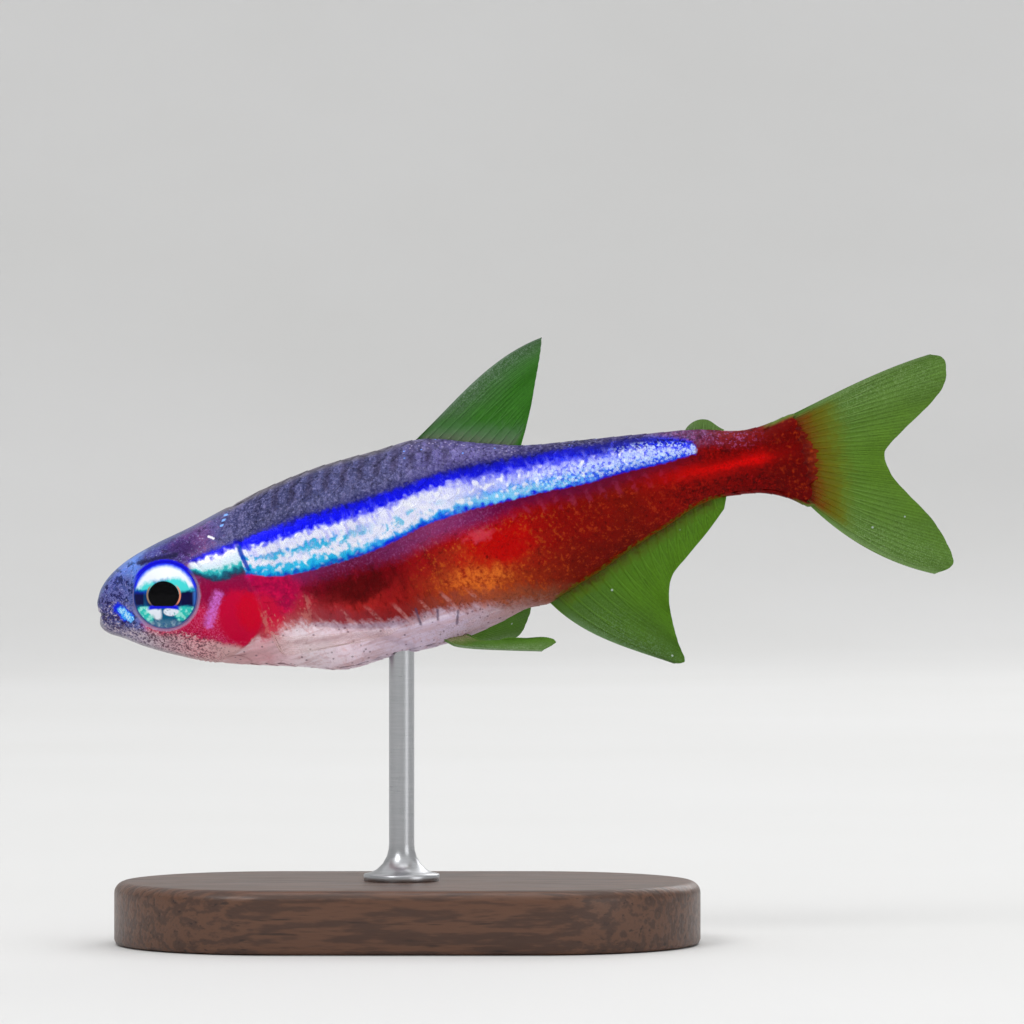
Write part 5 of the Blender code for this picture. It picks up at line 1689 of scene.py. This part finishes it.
def fin_finish(name, leaf, veil, vein, rim, root=None, forked=False, opacity=FIN_OPACITY):
    """A thin membrane with paler rays, painted shade in the valleys along them, and veil towards the leading
    ray, or towards both outer rays of a forked fin. root is (stops by length, where they end)."""
    paint = Paint(name, roughness=0.42, specular=0.05, coat=0.02, coat_roughness=0.2)
    body = paint.field("body")[0]
    _, ridge, b, a = paint.field("fin")
    _, length, across, _ = paint.field("span")
    broad = paint.noise(body, 0.7)
    fine = paint.noise(body, 7.0, 3.0)
    grain = paint.noise(body, 16.0, 2.0)
    lead = (a - 0.5).size() * -1.0 + 0.5 if forked else a
    membrane = paint.mix((lead + broad * 0.10).fall(0.02, 0.48) * 0.85, leaf, veil)
    lay = paint.layers(paint.shade(membrane, broad * 0.14 + fine * 0.18 + grain * 0.24 + 1.0))
    lay(ridge.rise(0.30, 0.9) * b.fall(0.1, 1.0) * 0.34, vein)
    # Painted shade: a darker copy of the membrane in the valleys along each ray's sides.
    valley_shade = (ridge - 0.22).size().fall(0.05, 0.20)
    patchy = paint.noise(body, 1.6, 2.0).rise(-0.6, 0.5)
    valley_shade = valley_shade * (b.fall(0.1, 0.8) * 0.42 + 0.12) * patchy
    colour = lay(valley_shade, [c * 0.40 for c in leaf])
    lines = (across + fine * 0.06).sine(0.25) * 0.09 + (across + broad * 0.1).sine(0.5) * 0.07
    lay = paint.layers(paint.shade(colour, lines * b.rise(0.02, 0.3) * patchy + 1.0))
    front = (lead + fine * 0.02).fall(0.0, 0.05) * b.rise(0.02, 0.2)
    lay(front * 0.40, rim)
    dusty = (lead + broad * 0.08).fall(0.02, 0.30) * (grain + fine * 0.4).rise(-0.2, 0.6)
    lay(dusty * b.band(0.20, 0.98, 0.2) * 0.60, rim)
    colour = lay(paint.dots(body, 0.75, 0.055) * 0.7, (196, 210, 206))
    if root:
        near = length + (fine * 0.35 + broad * 0.3 + paint.noise(body, 2.4) * 0.35) + GAP - FIN_SINK
        colour = with_fin_root(paint, colour, near, a, *root)
    joints = length.sine(0.20).rise(0.5, 1.0) * ridge.rise(0.4, 0.8)
    height = ridge * 0.2 + joints * -0.35 + fine * 0.25
    shown = ridge * opacity[1] + opacity[0]
    return paint.finish(
        colour=colour, alpha=shown, roughness=fine * 0.08 + 0.42, normal=paint.relief(height, 0.02, 0.6)
    )


def with_fin_root(paint, colour, near, a, stops, reach):
    """Tints by the length near from the body, up to a length of reach and not on the outer rays."""
    tint = paint.ramp(near * (1 / reach), [(at / reach, tone) for at, tone in stops])
    inner = a.rise(0.015, 0.09) * a.fall(0.91, 0.985)
    return paint.mix(near.fall(reach * 0.5, reach) * inner, colour, tint)


def wood_finish():
    paint = Paint("dark_wood", roughness=0.4, specular=0.4, coat=0.15, coat_roughness=0.25)
    spot = paint.add("TexCoord", {}, output="Object")
    long = paint.stretched(spot, (90.0, 900.0, 700.0))
    grain = paint.noise(long, 1.0, 5.0, 0.6)
    pores = paint.noise(paint.stretched(spot, (300.0, 5200.0, 4200.0)), 1.0, 2.0)
    rings = (grain * 3.0).sine(1.1)
    lay = paint.layers(paint.mix(rings.rise(-1.2, 1.2), (66, 42, 30), (92, 60, 42)))
    lay(grain.rise(0.1, 0.8) * 0.5, (44, 26, 19))
    colour = lay(pores.rise(0.25, 0.5) * 0.7, (22, 12, 9))
    rough = pores * 0.12 + 0.42
    height = pores * -0.6 + rings * 0.1
    return paint.finish(colour=colour, roughness=rough, normal=paint.relief(height, 0.03, 0.6))


def metal_finish():
    paint = Paint("brushed_steel", roughness=0.28, metallic=1.0)
    spot = paint.add("TexCoord", {}, output="Object")
    lines = paint.noise(paint.stretched(spot, (900.0, 900.0, 14000.0)), 1.0, 3.0)
    colour = paint.mix(lines.rise(-0.6, 0.6), (170, 172, 175), (180, 181, 184))
    return paint.finish(colour=colour, roughness=lines * 0.06 + 0.30, normal=paint.relief(lines, 0.001, 0.1))


# Studio

def floor_finish():
    paint = Paint("pale_floor", roughness=0.7, specular=0.2)
    spot = paint.add("TexCoord", {}, output="Object")
    soft = paint.noise(spot, 9.0, 3.0)
    colour = paint.mix(soft.rise(-0.8, 0.8), (214, 214, 213), (219, 219, 219))
    return paint.finish(colour=colour, roughness=soft * 0.05 + 0.7)


def make_floor():
    """A flat floor that curves up into a round wall."""
    bend = WALL_RADIUS - FLOOR_FLAT
    turns = np.linspace(0.0, math.pi / 2, 24)
    profile = [(0.004, 0.0), (0.1, 0.0), (0.3, 0.0), (FLOOR_FLAT, 0.0)]
    profile += [(FLOOR_FLAT + bend * math.sin(t), bend * (1 - math.cos(t))) for t in turns[1:]]
    profile.append((WALL_RADIUS, WALL_HEIGHT))
    points, faces = turned([(r / MM, z / MM) for r, z in profile], 128, 0.0)
    points[:, 2] -= FLOOR_DROP
    floor = build("floor", points, faces[:-1])
    floor.data.materials.append(floor_finish())


def make_light(name, spot, size, power):
    """A round lamp aimed at the middle of the model."""
    data = bpy.data.lights.new(name, "AREA")
    data.shape = "DISK"
    data.size = size
    data.energy = power
    light = bpy.data.objects.new(name, data)
    light.location = spot
    light.rotation_euler = (Vector(MODEL_MIDDLE) - Vector(spot)).to_track_quat("-Z", "Y").to_euler()
    light.visible_camera = False
    bpy.context.scene.collection.objects.link(light)


def make_studio():
    make_floor()
    for light in LIGHTS:
        make_light(*light)
    world = bpy.data.worlds.new("studio")
    world.use_nodes = True
    sky = world.node_tree.nodes["Background"].inputs
    sky["Color"].default_value = (1.0, 1.0, 1.0, 1.0)
    sky["Strength"].default_value = SKY_STRENGTH
    bpy.context.scene.world = world
    bpy.context.scene.view_settings.view_transform = "Standard"


def make_camera():
    """The photograph's view: square to the fish's left side, at the height of the picture's middle."""
    data = bpy.data.cameras.new("camera")
    data.sensor_width = SENSOR_WIDTH
    data.lens = CAMERA_LENS
    data.clip_start = 0.01
    data.clip_end = 5.0
    camera = bpy.data.objects.new("camera", data)
    camera.location = CAMERA_PLACE
    camera.rotation_euler = (math.radians(90), 0.0, 0.0)
    bpy.context.scene.collection.objects.link(camera)
    bpy.context.scene.camera = camera


make_skin(skin_finish("wet_skin", scaly=False))
make_scales(skin_finish("wet_scales", scaly=True))
eye = eye_finish()
make_eye("eye_left", -1, eye)
make_eye("eye_right", 1, eye)
make_fins({key: fin_finish(*tones, **more) for key, tones, more in FIN_COLOURS})
make_stand(wood_finish(), metal_finish())
make_studio()
make_camera()
